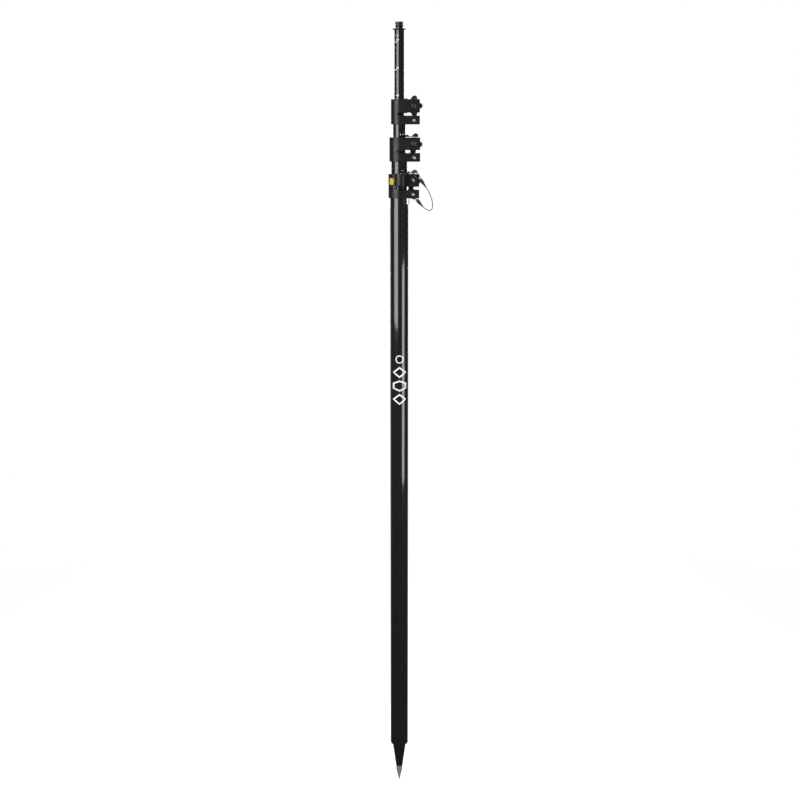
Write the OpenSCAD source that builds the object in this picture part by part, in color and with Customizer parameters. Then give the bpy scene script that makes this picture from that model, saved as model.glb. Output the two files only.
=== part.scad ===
// Telescopic carbon-fibre prism pole, four sections, standing collapsed on its foot point.
// Origin at the tip of the foot point, +Z up the pole, clamp ears towards +X, knobs towards +Y.

/* [Pole] */
// Outside radius of the base tube
base_r = 17.4; // [17:0.1:18]
// Outside radius of the lower sliding tube
lower_r = 14.95; // [14.5:0.05:15]
// Outside radius of the middle sliding tube
middle_r = 11.45; // [11:0.05:11.8]
// Outside radius of the top sliding tube
top_r = 9.1; // [8.8:0.1:9.3]
// Wall of the base tube
base_wall = 1.4; // [1.3:0.05:1.5]
// Wall of the sliding tubes
tube_wall = 1.3; // [1.2:0.05:1.4]
// Height of the shoulder that the instrument sits on
shoulder_z = 1499.5; // [1495:0.5:1510]
// Height of the lower end of the base tube
base_bottom_z = 84; // [82:0.5:88]

/* [Clamps] */
// Height of the lower clamp's top
lower_clamp_top_z = 1234; // [1229:0.5:1234.5]
// Height of the middle clamp's top
middle_clamp_top_z = 1301.5; // [1301:0.5:1306.5]
// Height of the upper clamp's top
upper_clamp_top_z = 1371.5; // [1369:0.5:1379.5]
// Outside radius of the lower clamp
lower_clamp_r = 20.3; // [20:0.1:20.5]
// Outside radius of the middle clamp
middle_clamp_r = 18.5; // [18:0.1:19.5]
// Outside radius of the upper clamp
upper_clamp_r = 15.4; // [15:0.1:16.5]
// Reach of the lower clamp's ear from the pole's axis
lower_ear_x = 36; // [35:0.1:37]
// Reach of the middle clamp's ear from the pole's axis
middle_ear_x = 37.8; // [36.5:0.1:39]
// Reach of the upper clamp's ear from the pole's axis
upper_ear_x = 37.5; // [36:0.1:39]
// Height of the slot between a clamp's gripping part and its fixed part
slot_h = 5.6; // [5:0.1:6]
// Height of each clamp's lower, fixed part
fixed_h = 16; // [15:0.5:16.5]
// Width of the slit down the middle of the ears
slit_w = 2.6; // [2:0.1:3]

/* [Knobs] */
// Overall diameter of a knob
knob_d = 40; // [38:0.5:41]
// Number of lobes on a knob
knob_lobes = 5; // [5:1:6]
// Thickness of a knob's lobes
knob_t = 11; // [10:0.5:12]
// Distance of the lower clamp's bolt from the pole's axis
lower_bolt_x = 24.5; // [24:0.1:26]
// Distance of the middle clamp's bolt from the pole's axis
middle_bolt_x = 27; // [26:0.1:28]
// Distance of the upper clamp's bolt from the pole's axis
upper_bolt_x = 26.6; // [25.5:0.1:28]

/* [Foot and top] */
// Height of the joint between foot point and foot cone
point_top_z = 31.5; // [30:0.5:34]
// Radius of the foot point's round part
point_r = 6.5; // [6:0.1:7]
// Radius of the stud that the instrument screws on, 5/8 inch
stud_r = 7.94; // [7.9:0.01:8]
// Height of the stud above the shoulder
stud_h = 12.5; // [11:0.5:14]
// Radius of the shoulder flange
flange_r = 12.15; // [11:0.05:13]
// Thickness of the shoulder flange
flange_t = 2.5; // [2:0.1:3]

/* [Level and locking pin] */
// Distance of the level's centre in front of the pole's axis
level_y = 25.2; // [25.2:0.1:26]
// Radius of the boss that holds the level
level_boss_r = 11.4; // [11:0.1:12]
// Radius of the locking pin
pin_r = 2.7; // [2.5:0.1:2.8]
// Length of the locking pin below its head
pin_l = 57; // [54:0.5:64]

/* [Hidden] */
$fn = 96;

eps = 0.5;               // overshoot of a cutter past the face it cuts
fit_gap = 0.02;          // gap between parts that are pressed, glued or screwed together
run_gap = 0.05;          // radial running clearance between parts that slide or turn
stop_gap = 0.5;          // gap left above each end stop when the pole is collapsed
LOWER = 0;
MIDDLE = 1;
UPPER = 2;

// Clamp sizes in the order lower, middle, upper.
clamp_top_z = [lower_clamp_top_z, middle_clamp_top_z, upper_clamp_top_z];
clamp_r = [lower_clamp_r, middle_clamp_r, upper_clamp_r];
ear_x = [lower_ear_x, middle_ear_x, upper_ear_x];
bolt_x = [lower_bolt_x, middle_bolt_x, upper_bolt_x];
grip_h = [24, 23.4, 24.6];       // height of the gripping part above the slot
slot_reach = [8.5, 6.6, 4.6];    // how far past the axis each slot runs
knob_turn = [15, 9.5, 0];        // angle each knob stands at when tight

// Tube radii, each clamp holding an outer tube below and gripping an inner tube above.
base_seat_r = base_r - 0.3;      // the base tube is ground down a little where the clamp holds it
outer_tube_r = [base_seat_r, lower_r, middle_r];
inner_tube_r = [lower_r, middle_r, top_r];
base_bore_r = base_r - base_wall;
lower_bore_r = lower_r - tube_wall;
middle_bore_r = middle_r - tube_wall;
top_bore_r = top_r - tube_wall;

// Clamp heights, worked down from each clamp's top.
function slot_top_z(k) = clamp_top_z[k] - grip_h[k];
function slot_bottom_z(k) = slot_top_z(k) - slot_h;
function clamp_bottom_z(k) = slot_bottom_z(k) - fixed_h;
function clamp_h(k) = clamp_top_z[k] - clamp_bottom_z(k);
function bolt_z(k) = (clamp_top_z[k] + slot_top_z(k)) / 2;
function fixing_z(k) = slot_bottom_z(k) - fixed_h / 2 - fixing_drop;
function knob_back_y(k) = clamp_r[k] + washer_t;

// Clamp details.
fixing_drop = 0.5;
liner_wall = 1.2;
liner_slit_w = 3;
ear_chamfer = 2.5;
edge_chamfer = 0.7;
head_recess_r = 5.75;
head_recess_depth = 4;
bolt_r = 3;
bolt_head_r = 4.9;
bolt_head_h = 3.4;
bolt_socket_r = 2.9;
bolt_socket_depth = 2;
bolt_end_cover = 4;
dome_head_r = 3.7;
dome_head_h = 2.2;
screw_r = 2;
screw_head_r = 3.1;
screw_head_h = 2.6;
screw_recess_r = 3.5;
screw_recess_depth = 3;
screw_socket_r = 1.5;
screw_socket_depth = 1.5;
screw_rear_wall = 4;
screw_tip_gap = 3;

// Knob details.
washer_t = 1.2;
washer_r = 7.5;
knob_hub_r = 12.5;
knob_lobe_r = 5.2;
knob_neck_r = 8.5;
knob_neck_h = 3;
insert_r = 5;
insert_tail = 1.5;

// Guide bushes and stop plugs inside the tubes.
bush_l = 30;
bush_lip = 2;
plug_l = 33;
plug_floor = 4;
plug_wall = 4;
plug_vent_r = 2;
socket_top_z = 109.5;
lower_tube_z = socket_top_z + stop_gap + bush_lip;
middle_tube_z = lower_tube_z + plug_l + bush_lip;
top_tube_z = middle_tube_z + plug_l + bush_lip;
tube_seat_gap = 0.5;
tube_seat_l = 20;

// Foot details.
end_ring_t = 2;
end_ring_chamfer = 0.8;
cone_top_r = 13.4;
cone_bottom_r = 6.4;
cone_spigot_r = 8;
cone_spigot_h = 18;
point_blunt_r = 0.4;
point_cone_h = 25;
point_shank_r = 4;
point_shank_h = 24;
shank_end_gap = 2;
spanner_flat_d = 11.6;
spanner_flat_h = 4.5;

// Top adapter details.
adapter_spigot_h = 30;
flange_chamfer = 1;
stud_shank_r = 5;
stud_shank_h = 22;
stud_relief_r = 6.3;
stud_relief_h = 1.8;
stud_chamfer = 1;
stud_relief_depth = 0.6;
stud_relief_gap = 0.2;

// Level details.
level_top_z = clamp_top_z[LOWER];
level_boss_gap = 2.5;
level_recess_r = 7.6;
level_recess_depth = 13;
cup_floor = 4;
cup_wall = 1.2;
glass_t = 1.6;
glass_rise = 1.4;
fluid_r = level_recess_r - cup_wall - 3 * fit_gap;
bubble_r = 2.2;
bubble_h = 1.2;
bezel_t = 1;
bezel_r = 8.9;
bezel_inner_r = 5.5;
bezel_lug_r = 2.1;
level_screw_r = 0.8;
level_screw_depth = 5;
level_screw_tip_gap = 0.5;
level_screw_head_r = 1.3;
level_screw_head_h = 0.6;
level_screw_pcd_r = 9.1;
level_screw_angles = [30, 150, 270];

// Colour plate details.
plate_t = 0.5;
plate_z = lower_clamp_top_z - 20.2;
plate_h = 12.2;
plate_from_deg = 37;
plate_to_deg = 66;

// Locking pin and lanyard details.
pin_xy = [15, -15];
pin_head_r = 3.3;
pin_head_h = 4.8;
pin_head_z = lower_clamp_top_z + 0.1;
pin_tail_z = pin_head_z - pin_l;
pin_chamfer = 1;
ring_r = 5.3;
ring_wire_r = 0.6;
ring_hole_r = 1.25;
ring_tilt = 18;
ring_x = pin_xy[0] + ring_r - 0.4;
ring_z = pin_head_z + pin_head_h / 2;
ring_hole_x = ring_x - ring_r + 0.58;
cable_r = 0.8;
crimp_barrel_r = 3.2;
crimp_barrel_share = 0.46;
crimp_chamfer = 0.6;
crimp_shoulder_h = 1.6;
crimp_tail_r = 2.2;
crimp_tail_end_r = 1.2;
anchor_xy = [26, -15];
anchor_screw_r = 1.5;
anchor_depth = 4.5;
anchor_head_r = 2.3;
anchor_head_h = 1.8;
anchor_eye_r = 2.8;
anchor_tip_gap = 0.5;
eye_gap = 0.15;

// Course of the lanyard, hanging in front of the ear and coming back under it.
function hung(x, y, drop) = [x, y, lower_clamp_top_z - drop];
loop_start = [26.6, -19.2, ring_z + 0.2];
loop_knee = hung(29.8, -24.2, 0.6);
upper_crimp_top = hung(37.4, -23.8, 9.5);
upper_crimp_end = hung(48.2, -23.8, 24.8);
cable_pull_1 = hung(67, -23.8, 48.9);
cable_pull_2 = hung(66.3, -19, 85.3);
lower_crimp_end = hung(43.2, -17.6, 61.3);
lower_crimp_top = hung(31.5, -15.6, 48.2);

// ---------------------------------------------------------------- shared shapes

module tube(outer, bore, from_z, to_z) {
    translate([0, 0, from_z])
        difference() {
            cylinder(h = to_z - from_z, r = outer);
            translate([0, 0, -eps]) cylinder(h = to_z - from_z + 2 * eps, r = bore);
        }
}

// A cylinder whose axis runs along +Y from y = from_y.
module y_rod(x, z, from_y, length, r) {
    translate([x, from_y, z]) rotate([-90, 0, 0]) cylinder(h = length, r = r);
}

// A hexagonal prism along +Y from y = from_y.
module y_hex(x, z, from_y, length, r) {
    translate([x, from_y, z]) rotate([-90, 0, 0]) cylinder(h = length, r = r, $fn = 6);
}

// ---------------------------------------------------------------- clamps

// Outline from above: a ring running tangentially into a square-ended ear.
module clamp_outline(k, inset = 0) {
    r = clamp_r[k] - inset;
    x = ear_x[k] - inset;
    c = ear_chamfer;
    circle(r);
    polygon([[0, -r], [x - c, -r], [x, c - r], [x, r - c], [x - c, r], [0, r]]);
}

// The block before it is drilled, with a narrow step of smaller outline breaking each end edge.
module clamp_block(k) {
    step = edge_chamfer / 2;
    translate([0, 0, clamp_bottom_z(k)])
        linear_extrude(clamp_h(k)) clamp_outline(k, edge_chamfer);
    translate([0, 0, clamp_bottom_z(k) + step])
        linear_extrude(clamp_h(k) - 2 * step) clamp_outline(k, step / 2);
    translate([0, 0, clamp_bottom_z(k) + edge_chamfer])
        linear_extrude(clamp_h(k) - 2 * edge_chamfer) clamp_outline(k);
}

// Everything that is cut out of a clamp: both bores, the slit, the slot and the two screw holes.
module clamp_cuts(k) {
    far = 60;
    r = clamp_r[k];
    translate([0, 0, clamp_bottom_z(k) - eps])
        cylinder(h = fixed_h + eps, r = outer_tube_r[k] + fit_gap);
    translate([0, 0, slot_bottom_z(k) - eps])
        cylinder(h = clamp_h(k), r = inner_tube_r[k] + run_gap + liner_wall + fit_gap);
    translate([0, -slit_w / 2, clamp_bottom_z(k) - eps])
        cube([far, slit_w, clamp_h(k) + 2 * eps]);
    translate([slot_h / 2 - slot_reach[k], -far / 2, slot_bottom_z(k)]) cube([far, far, slot_h]);
    y_rod(slot_h / 2 - slot_reach[k], slot_bottom_z(k) + slot_h / 2, -far / 2, far, slot_h / 2);
    y_rod(bolt_x[k], bolt_z(k), -far / 2, far, bolt_r + fit_gap);
    y_rod(bolt_x[k], fixing_z(k), -far / 2, far / 2 + r - screw_rear_wall, screw_r + fit_gap);
    y_rod(bolt_x[k], fixing_z(k), -r - eps, screw_recess_depth + eps, screw_recess_r);
}

module head_recess(k) {
    y_rod(bolt_x[k], bolt_z(k), -clamp_r[k] - eps, head_recess_depth + eps, head_recess_r);
}

module clamp_body(k) {
    color("#26262a")
        difference() {
            clamp_block(k);
            clamp_cuts(k);
            head_recess(k);
        }
}

// Split nylon liner that the sliding tube runs in.
module clamp_liner(k) {
    bore = inner_tube_r[k] + run_gap;
    color("#3a3a3c")
        difference() {
            tube(bore + liner_wall, bore, slot_top_z(k), clamp_top_z[k]);
            translate([0, -liner_slit_w / 2, slot_top_z(k) - eps])
                cube([2 * bore, liner_slit_w, grip_h[k] + 2 * eps]);
        }
}

// Socket screw that closes the fixed part on the outer tube.
module fixing_screw(k) {
    seat_y = screw_recess_depth - clamp_r[k];
    front_y = seat_y - screw_head_h;
    tip_y = clamp_r[k] - screw_rear_wall - screw_tip_gap;
    color("#c8c8c8")
        difference() {
            union() {
                y_rod(bolt_x[k], fixing_z(k), seat_y, tip_y - seat_y, screw_r);
                y_rod(bolt_x[k], fixing_z(k), front_y, screw_head_h, screw_head_r);
            }
            y_hex(bolt_x[k], fixing_z(k), front_y - eps, screw_socket_depth + eps, screw_socket_r);
        }
}

module bolt_shank(k, from_y) {
    end_y = knob_back_y(k) + knob_neck_h + knob_t - bolt_end_cover;
    y_rod(bolt_x[k], bolt_z(k), from_y, end_y - from_y, bolt_r);
}

// Socket-head bolt through the gripping part, held in a round recess in front.
module recessed_bolt(k) {
    seat_y = head_recess_depth - clamp_r[k];
    color("#b9b9b6")
        difference() {
            union() {
                bolt_shank(k, seat_y);
                y_rod(bolt_x[k], bolt_z(k), seat_y - bolt_head_h, bolt_head_h, bolt_head_r);
            }
            y_hex(bolt_x[k], bolt_z(k), seat_y - bolt_head_h - eps, bolt_socket_depth + eps, bolt_socket_r);
        }
}

// Dome-head bolt through the gripping part, its head standing proud of the flat front.
module dome_bolt(k) {
    ball_r = (dome_head_r * dome_head_r + dome_head_h * dome_head_h) / (2 * dome_head_h);
    color("#c8c4be") {
        bolt_shank(k, -clamp_r[k]);
        intersection() {
            y_rod(bolt_x[k], bolt_z(k), -clamp_r[k] - dome_head_h, dome_head_h, dome_head_r);
            translate([bolt_x[k], ball_r - clamp_r[k] - dome_head_h, bolt_z(k)]) sphere(ball_r);
        }
    }
}

// ---------------------------------------------------------------- knobs

module thrust_washer(k) {
    color("#d0d0ce")
        difference() {
            y_rod(bolt_x[k], bolt_z(k), clamp_r[k], washer_t, washer_r);
            y_rod(bolt_x[k], bolt_z(k), clamp_r[k] - eps, washer_t + 2 * eps, bolt_r + run_gap);
        }
}

module knob_outline() {
    lobe_x = knob_d / 2 - knob_lobe_r;
    circle(knob_hub_r);
    for (i = [0:knob_lobes - 1])
        rotate(i * 360 / knob_lobes) {
            translate([lobe_x, 0]) circle(knob_lobe_r, $fn = 48);
            translate([0, -knob_lobe_r]) square([lobe_x, 2 * knob_lobe_r]);
        }
}

// Star knob, blind at its outer end, turning on the draw bolt through its threaded insert.
module knob(k) {
    back = knob_back_y(k);
    insert_end = knob_neck_h + knob_t - insert_tail;
    color("#1c1c1e")
        difference() {
            union() {
                y_rod(bolt_x[k], bolt_z(k), back, knob_neck_h + eps, knob_neck_r);
                translate([bolt_x[k], back + knob_neck_h, bolt_z(k)])
                    rotate([0, knob_turn[k], 0])
                        rotate([90, 0, 0])
                            mirror([0, 0, 1]) linear_extrude(knob_t) knob_outline();
            }
            y_rod(bolt_x[k], bolt_z(k), back - eps, insert_end + eps, insert_r + fit_gap);
        }
}

module knob_insert(k) {
    length = knob_neck_h + knob_t - insert_tail - fit_gap;
    color("#b08d4a")
        difference() {
            y_rod(bolt_x[k], bolt_z(k), knob_back_y(k) + fit_gap, length - fit_gap, insert_r);
            y_rod(bolt_x[k], bolt_z(k), knob_back_y(k) - eps, length + 2 * eps, bolt_r + run_gap);
        }
}

// ---------------------------------------------------------------- sliding-tube ends

// Plastic bush round a tube's lower end, with a lip under the end, running in the next tube's bore.
module guide_bush(tube_r, bore_r, outer_bore_r, z) {
    color("#e6e4de") {
        tube(outer_bore_r - run_gap, tube_r + fit_gap, z, z + bush_l);
        tube(outer_bore_r - run_gap, bore_r - bush_lip, z - bush_lip, z);
    }
}

// Plug in a tube's lower end that the next tube inside comes to rest on.
module stop_plug(bore_r, z, length) {
    color("#2c2c2e")
        difference() {
            translate([0, 0, z + fit_gap]) cylinder(h = length, r = bore_r - fit_gap);
            translate([0, 0, z + plug_floor]) cylinder(h = length, r = bore_r - plug_wall);
            translate([0, 0, z - eps]) cylinder(h = length, r = plug_vent_r);
        }
}

// ---------------------------------------------------------------- base and foot

module base_tube() {
    seat_z = clamp_bottom_z(LOWER) - tube_seat_l;
    color("#2b2b2e") {
        tube(base_r, base_bore_r, base_bottom_z, seat_z);
        tube(base_seat_r, base_bore_r, seat_z, slot_bottom_z(LOWER) - tube_seat_gap);
    }
}

module foot_socket() {
    ring_z = base_bottom_z - end_ring_t;
    half_t = end_ring_t / 2;
    color("#2e2e30")
        difference() {
            union() {
                translate([0, 0, ring_z]) cylinder(h = half_t, r1 = base_r - end_ring_chamfer, r2 = base_r);
                translate([0, 0, ring_z + half_t]) cylinder(h = half_t, r = base_r);
                translate([0, 0, base_bottom_z])
                    cylinder(h = socket_top_z - base_bottom_z, r = base_bore_r - fit_gap);
            }
            translate([0, 0, ring_z - eps]) cylinder(h = socket_top_z, r = cone_spigot_r + fit_gap);
        }
}

module foot_cone() {
    cone_z = base_bottom_z - end_ring_t;
    color("#1f1f21")
        difference() {
            union() {
                translate([0, 0, point_top_z])
                    cylinder(h = cone_z - point_top_z, r1 = cone_bottom_r, r2 = cone_top_r);
                translate([0, 0, cone_z]) cylinder(h = cone_spigot_h, r = cone_spigot_r);
            }
            translate([0, 0, point_top_z - eps])
                cylinder(h = point_shank_h + shank_end_gap + eps, r = point_shank_r + fit_gap);
        }
}

// Hardened point with two spanner flats on its round part.
module foot_point() {
    color("#a7a29a")
        difference() {
            union() {
                cylinder(h = point_cone_h, r1 = point_blunt_r, r2 = point_r);
                translate([0, 0, point_cone_h]) cylinder(h = point_top_z - point_cone_h, r = point_r);
                translate([0, 0, point_top_z]) cylinder(h = point_shank_h, r = point_shank_r);
            }
            for (side = [-1, 1])
                translate([side * (spanner_flat_d / 2 + point_r), 0, (point_cone_h + point_top_z) / 2])
                    cube([2 * point_r, 2 * point_r, spanner_flat_h], center = true);
        }
}

// ---------------------------------------------------------------- lower clamp, with level and pin

module lower_clamp_body() {
    color("#26262a")
        difference() {
            union() {
                clamp_block(LOWER);
                difference() {
                    translate([0, -level_y, slot_top_z(LOWER) + level_boss_gap])
                        cylinder(h = grip_h[LOWER] - level_boss_gap, r = level_boss_r);
                    cylinder(h = 2 * level_top_z, r = base_r, center = true);
                }
            }
            clamp_cuts(LOWER);
            translate([0, -level_y, level_top_z - level_recess_depth])
                cylinder(h = level_recess_depth + eps, r = level_recess_r);
            translate([pin_xy[0], pin_xy[1], clamp_bottom_z(LOWER) - eps])
                cylinder(h = clamp_h(LOWER) + 2 * eps, r = pin_r + run_gap);
            translate([anchor_xy[0], anchor_xy[1], clamp_bottom_z(LOWER) - eps])
                cylinder(h = anchor_depth + eps, r = anchor_screw_r + fit_gap);
            level_screw_places()
                translate([0, 0, level_top_z - level_screw_depth])
                    cylinder(h = level_screw_depth + eps, r = level_screw_r + fit_gap, $fn = 24);
        }
}

module lower_clamp_liner() clamp_liner(LOWER);
module lower_clamp_fixing_screw() fixing_screw(LOWER);
module lower_draw_bolt() dome_bolt(LOWER);
module lower_thrust_washer() thrust_washer(LOWER);
module lower_knob() knob(LOWER);
module lower_knob_insert() knob_insert(LOWER);

module level_screw_places() {
    for (angle = level_screw_angles)
        translate([0, -level_y, 0]) rotate(angle) translate([level_screw_pcd_r, 0, 0]) children();
}

module level_cup() {
    floor_z = level_top_z - level_recess_depth + fit_gap;
    color("#d8d4c8")
        translate([0, -level_y, floor_z])
            difference() {
                cylinder(h = level_recess_depth - glass_t, r = level_recess_r - fit_gap);
                translate([0, 0, cup_floor]) cylinder(h = level_recess_depth, r = fluid_r + fit_gap);
            }
}

// Spirit under the glass, with the bubble as a round hollow at its top.
module level_fluid() {
    floor_z = level_top_z - level_recess_depth + cup_floor + 2 * fit_gap;
    depth = level_recess_depth - cup_floor - glass_t - 3 * fit_gap;
    color("#b8d63a")
        translate([0, -level_y, floor_z])
            difference() {
                cylinder(h = depth, r = fluid_r);
                translate([0, 0, depth - bubble_h]) cylinder(h = 2 * bubble_h, r = bubble_r);
            }
}

// Domed lens closing the cup.
module level_glass() {
    dome_r = bezel_inner_r - fit_gap;
    ball_r = (dome_r * dome_r + glass_rise * glass_rise) / (2 * glass_rise);
    color("#dfeeee", 0.5)
        translate([0, -level_y, level_top_z - glass_t + fit_gap]) {
            cylinder(h = glass_t, r = level_recess_r - fit_gap);
            translate([0, 0, glass_t])
                intersection() {
                    cylinder(h = glass_rise, r = dome_r);
                    translate([0, 0, glass_rise - ball_r]) sphere(ball_r);
                }
        }
}

// Ring with three screw lugs that holds the lens in.
module level_bezel() {
    color("#9b9b98")
        difference() {
            translate([0, 0, level_top_z + 2 * fit_gap]) {
                translate([0, -level_y, 0]) cylinder(h = bezel_t, r = bezel_r);
                level_screw_places() cylinder(h = bezel_t, r = bezel_lug_r);
            }
            translate([0, -level_y, level_top_z - eps]) cylinder(h = bezel_t + 2 * eps, r = bezel_inner_r);
            level_screw_places()
                translate([0, 0, level_top_z - eps])
                    cylinder(h = bezel_t + 2 * eps, r = level_screw_r + fit_gap, $fn = 24);
        }
}

// Three small screws that hold the bezel down.
module level_screws() {
    color("#c8c8c8")
        level_screw_places()
            translate([0, 0, level_top_z + bezel_t + 3 * fit_gap]) {
                cylinder(h = level_screw_head_h, r = level_screw_head_r, $fn = 24);
                translate([0, 0, level_screw_tip_gap - level_screw_depth])
                    cylinder(h = level_screw_depth, r = level_screw_r, $fn = 24);
            }
}

// Plain coloured plate bent round the clamp's side.
module colour_plate() {
    color("#d9c32c")
        translate([0, 0, plate_z])
            rotate(-90 - plate_to_deg)
                rotate_extrude(angle = plate_to_deg - plate_from_deg)
                    translate([clamp_r[LOWER] + fit_gap, 0]) square([plate_t, plate_h]);
}

// Steel pin stowed in the ear, cross-drilled through its head for the pull ring.
module lock_pin() {
    c = pin_chamfer;
    color("#c9c7c2")
        difference() {
            translate([pin_xy[0], pin_xy[1], 0]) {
                translate([0, 0, pin_tail_z]) cylinder(h = c, r1 = pin_r - c, r2 = pin_r);
                translate([0, 0, pin_tail_z + c]) cylinder(h = pin_l - c, r = pin_r);
                translate([0, 0, pin_head_z]) cylinder(h = pin_head_h - c, r = pin_head_r);
                translate([0, 0, pin_head_z + pin_head_h - c])
                    cylinder(h = c, r1 = pin_head_r, r2 = pin_head_r - c);
            }
            translate([ring_hole_x, pin_xy[1], ring_z])
                rotate([ring_tilt - 90, 0, 0])
                    cylinder(h = 4 * pin_head_r, r = ring_hole_r, center = true);
        }
}

module pull_ring() {
    color("#cfcdc8")
        translate([ring_x, pin_xy[1], ring_z])
            rotate([ring_tilt, 0, 0])
                rotate_extrude() translate([ring_r, 0]) circle(ring_wire_r, $fn = 32);
}

// ---------------------------------------------------------------- lanyard

function between(a, b, t) = a * (1 - t) + b * t;
function bezier(a, b, c, d, t) =
    between(between(between(a, b, t), between(b, c, t), t),
            between(between(b, c, t), between(c, d, t), t), t);
function toward(a, b, d) = a + (b - a) * d / norm(b - a);

// Places its children at point a with their Z axis pointing at point b.
module aimed(a, b) {
    d = b - a;
    translate(a) rotate([0, acos(d[2] / norm(d)), atan2(d[1], d[0])]) children();
}

// Two straight lengths of wire meeting at a knee.
module bent_wire(a, knee, b) {
    aimed(a, knee) cylinder(h = norm(knee - a), r = cable_r, $fn = 24);
    aimed(knee, b) cylinder(h = norm(b - knee), r = cable_r, $fn = 24);
    translate(knee) sphere(cable_r, $fn = 24);
}

// Crimped sleeve: a round barrel with a thin tail down to the wire.
module crimp(top, end) {
    length = norm(end - top);
    barrel = crimp_barrel_share * length;
    r = crimp_barrel_r;
    c = crimp_chamfer;
    color("#29292b")
        aimed(top, end)
            rotate_extrude($fn = 48)
                polygon([[0, 0], [r - c, 0], [r, c], [r, barrel], [crimp_tail_r, barrel + crimp_shoulder_h],
                         [crimp_tail_end_r, length], [0, length]]);
}

// Short strand from the pull ring over the ear's front edge to the first crimp.
module lanyard_upper_loop() {
    color("#c4c0b8") bent_wire(loop_start, loop_knee, toward(upper_crimp_top, loop_knee, cable_r));
}

module lanyard_upper_crimp() crimp(upper_crimp_top, upper_crimp_end);

// Wire hanging in a bow between the two crimps.
module lanyard_cable() {
    steps = 14;
    gap = cable_r + run_gap;
    start = toward(upper_crimp_end, cable_pull_1, gap);
    finish = toward(lower_crimp_end, cable_pull_2, gap);
    course = [for (i = [0:steps]) bezier(start, cable_pull_1, cable_pull_2, finish, i / steps)];
    color("#c4c0b8")
        for (i = [0:steps - 1])
            hull() {
                translate(course[i]) sphere(cable_r, $fn = 8);
                translate(course[i + 1]) sphere(cable_r, $fn = 8);
            }
}

module lanyard_lower_crimp() crimp(lower_crimp_top, lower_crimp_end);

// Eye of wire held by the anchor screw, with its short strand to the second crimp.
module lanyard_lower_loop() {
    eye = [anchor_xy[0], anchor_xy[1], clamp_bottom_z(LOWER) - cable_r - eye_gap];
    from = eye + [anchor_eye_r, 0, 0];
    to = toward(lower_crimp_top, from, cable_r);
    color("#c4c0b8") {
        translate(eye) rotate_extrude() translate([anchor_eye_r, 0]) circle(cable_r, $fn = 24);
        aimed(from, to) cylinder(h = norm(to - from), r = cable_r, $fn = 24);
    }
}

module lanyard_anchor_screw() {
    head_z = clamp_bottom_z(LOWER) - 2 * (cable_r + eye_gap) - anchor_head_h;
    tip_z = clamp_bottom_z(LOWER) + anchor_depth - anchor_tip_gap;
    color("#b9b9b6")
        translate([anchor_xy[0], anchor_xy[1], head_z]) {
            cylinder(h = anchor_head_h, r = anchor_head_r);
            cylinder(h = tip_z - head_z, r = anchor_screw_r);
        }
}

// ---------------------------------------------------------------- lower section

module lower_tube() {
    color("#2b2b2e") tube(lower_r, lower_bore_r, lower_tube_z, slot_bottom_z(MIDDLE) - tube_seat_gap);
}

module lower_guide_bush() guide_bush(lower_r, lower_bore_r, base_bore_r, lower_tube_z);
module lower_stop_plug() stop_plug(lower_bore_r, lower_tube_z, plug_l - stop_gap);

module middle_clamp_body() clamp_body(MIDDLE);
module middle_clamp_liner() clamp_liner(MIDDLE);
module middle_clamp_fixing_screw() fixing_screw(MIDDLE);
module middle_draw_bolt() recessed_bolt(MIDDLE);
module middle_thrust_washer() thrust_washer(MIDDLE);
module middle_knob() knob(MIDDLE);
module middle_knob_insert() knob_insert(MIDDLE);

// ---------------------------------------------------------------- middle section

module middle_tube() {
    color("#2b2b2e") tube(middle_r, middle_bore_r, middle_tube_z, slot_bottom_z(UPPER) - tube_seat_gap);
}

module middle_guide_bush() guide_bush(middle_r, middle_bore_r, lower_bore_r, middle_tube_z);
module middle_stop_plug() stop_plug(middle_bore_r, middle_tube_z, plug_l - stop_gap);

module upper_clamp_body() clamp_body(UPPER);
module upper_clamp_liner() clamp_liner(UPPER);
module upper_clamp_fixing_screw() fixing_screw(UPPER);
module upper_draw_bolt() recessed_bolt(UPPER);
module upper_thrust_washer() thrust_washer(UPPER);
module upper_knob() knob(UPPER);
module upper_knob_insert() knob_insert(UPPER);

// ---------------------------------------------------------------- top section

module top_tube() {
    color("#2b2b2e") tube(top_r, top_bore_r, top_tube_z, shoulder_z - flange_t);
}

module top_guide_bush() guide_bush(top_r, top_bore_r, middle_bore_r, top_tube_z);
module top_stop_plug() stop_plug(top_bore_r, top_tube_z, plug_l / 2);

// Flanged plug glued in the top tube, tapped for the stud.
module top_adapter() {
    flange_z = shoulder_z - flange_t;
    c = flange_chamfer;
    color("#2a2a2c")
        difference() {
            union() {
                translate([0, 0, flange_z]) cylinder(h = c, r1 = flange_r - c, r2 = flange_r);
                translate([0, 0, flange_z + c]) cylinder(h = flange_t - c, r = flange_r);
                translate([0, 0, flange_z - adapter_spigot_h])
                    cylinder(h = adapter_spigot_h, r = top_bore_r - fit_gap);
            }
            translate([0, 0, shoulder_z - stud_shank_h])
                cylinder(h = stud_shank_h + eps, r = stud_shank_r + fit_gap);
            translate([0, 0, shoulder_z - stud_relief_depth])
                cylinder(h = stud_relief_depth + eps, r = stud_r + stud_relief_gap);
        }
}

// Mounting stud, its thread drawn as a plain cylinder of the thread's outside radius.
module top_stud() {
    thread_z = shoulder_z + stud_relief_h;
    relief_z = shoulder_z - stud_relief_depth + fit_gap;
    thread_h = stud_h - stud_relief_h - stud_chamfer;
    color("#3a3a3c") {
        translate([0, 0, shoulder_z - stud_shank_h + fit_gap])
            cylinder(h = stud_shank_h, r = stud_shank_r);
        translate([0, 0, relief_z]) cylinder(h = thread_z - relief_z, r = stud_relief_r);
        translate([0, 0, thread_z]) cylinder(h = thread_h, r = stud_r);
        translate([0, 0, thread_z + thread_h])
            cylinder(h = stud_chamfer, r1 = stud_r, r2 = stud_r - stud_chamfer);
    }
}

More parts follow.
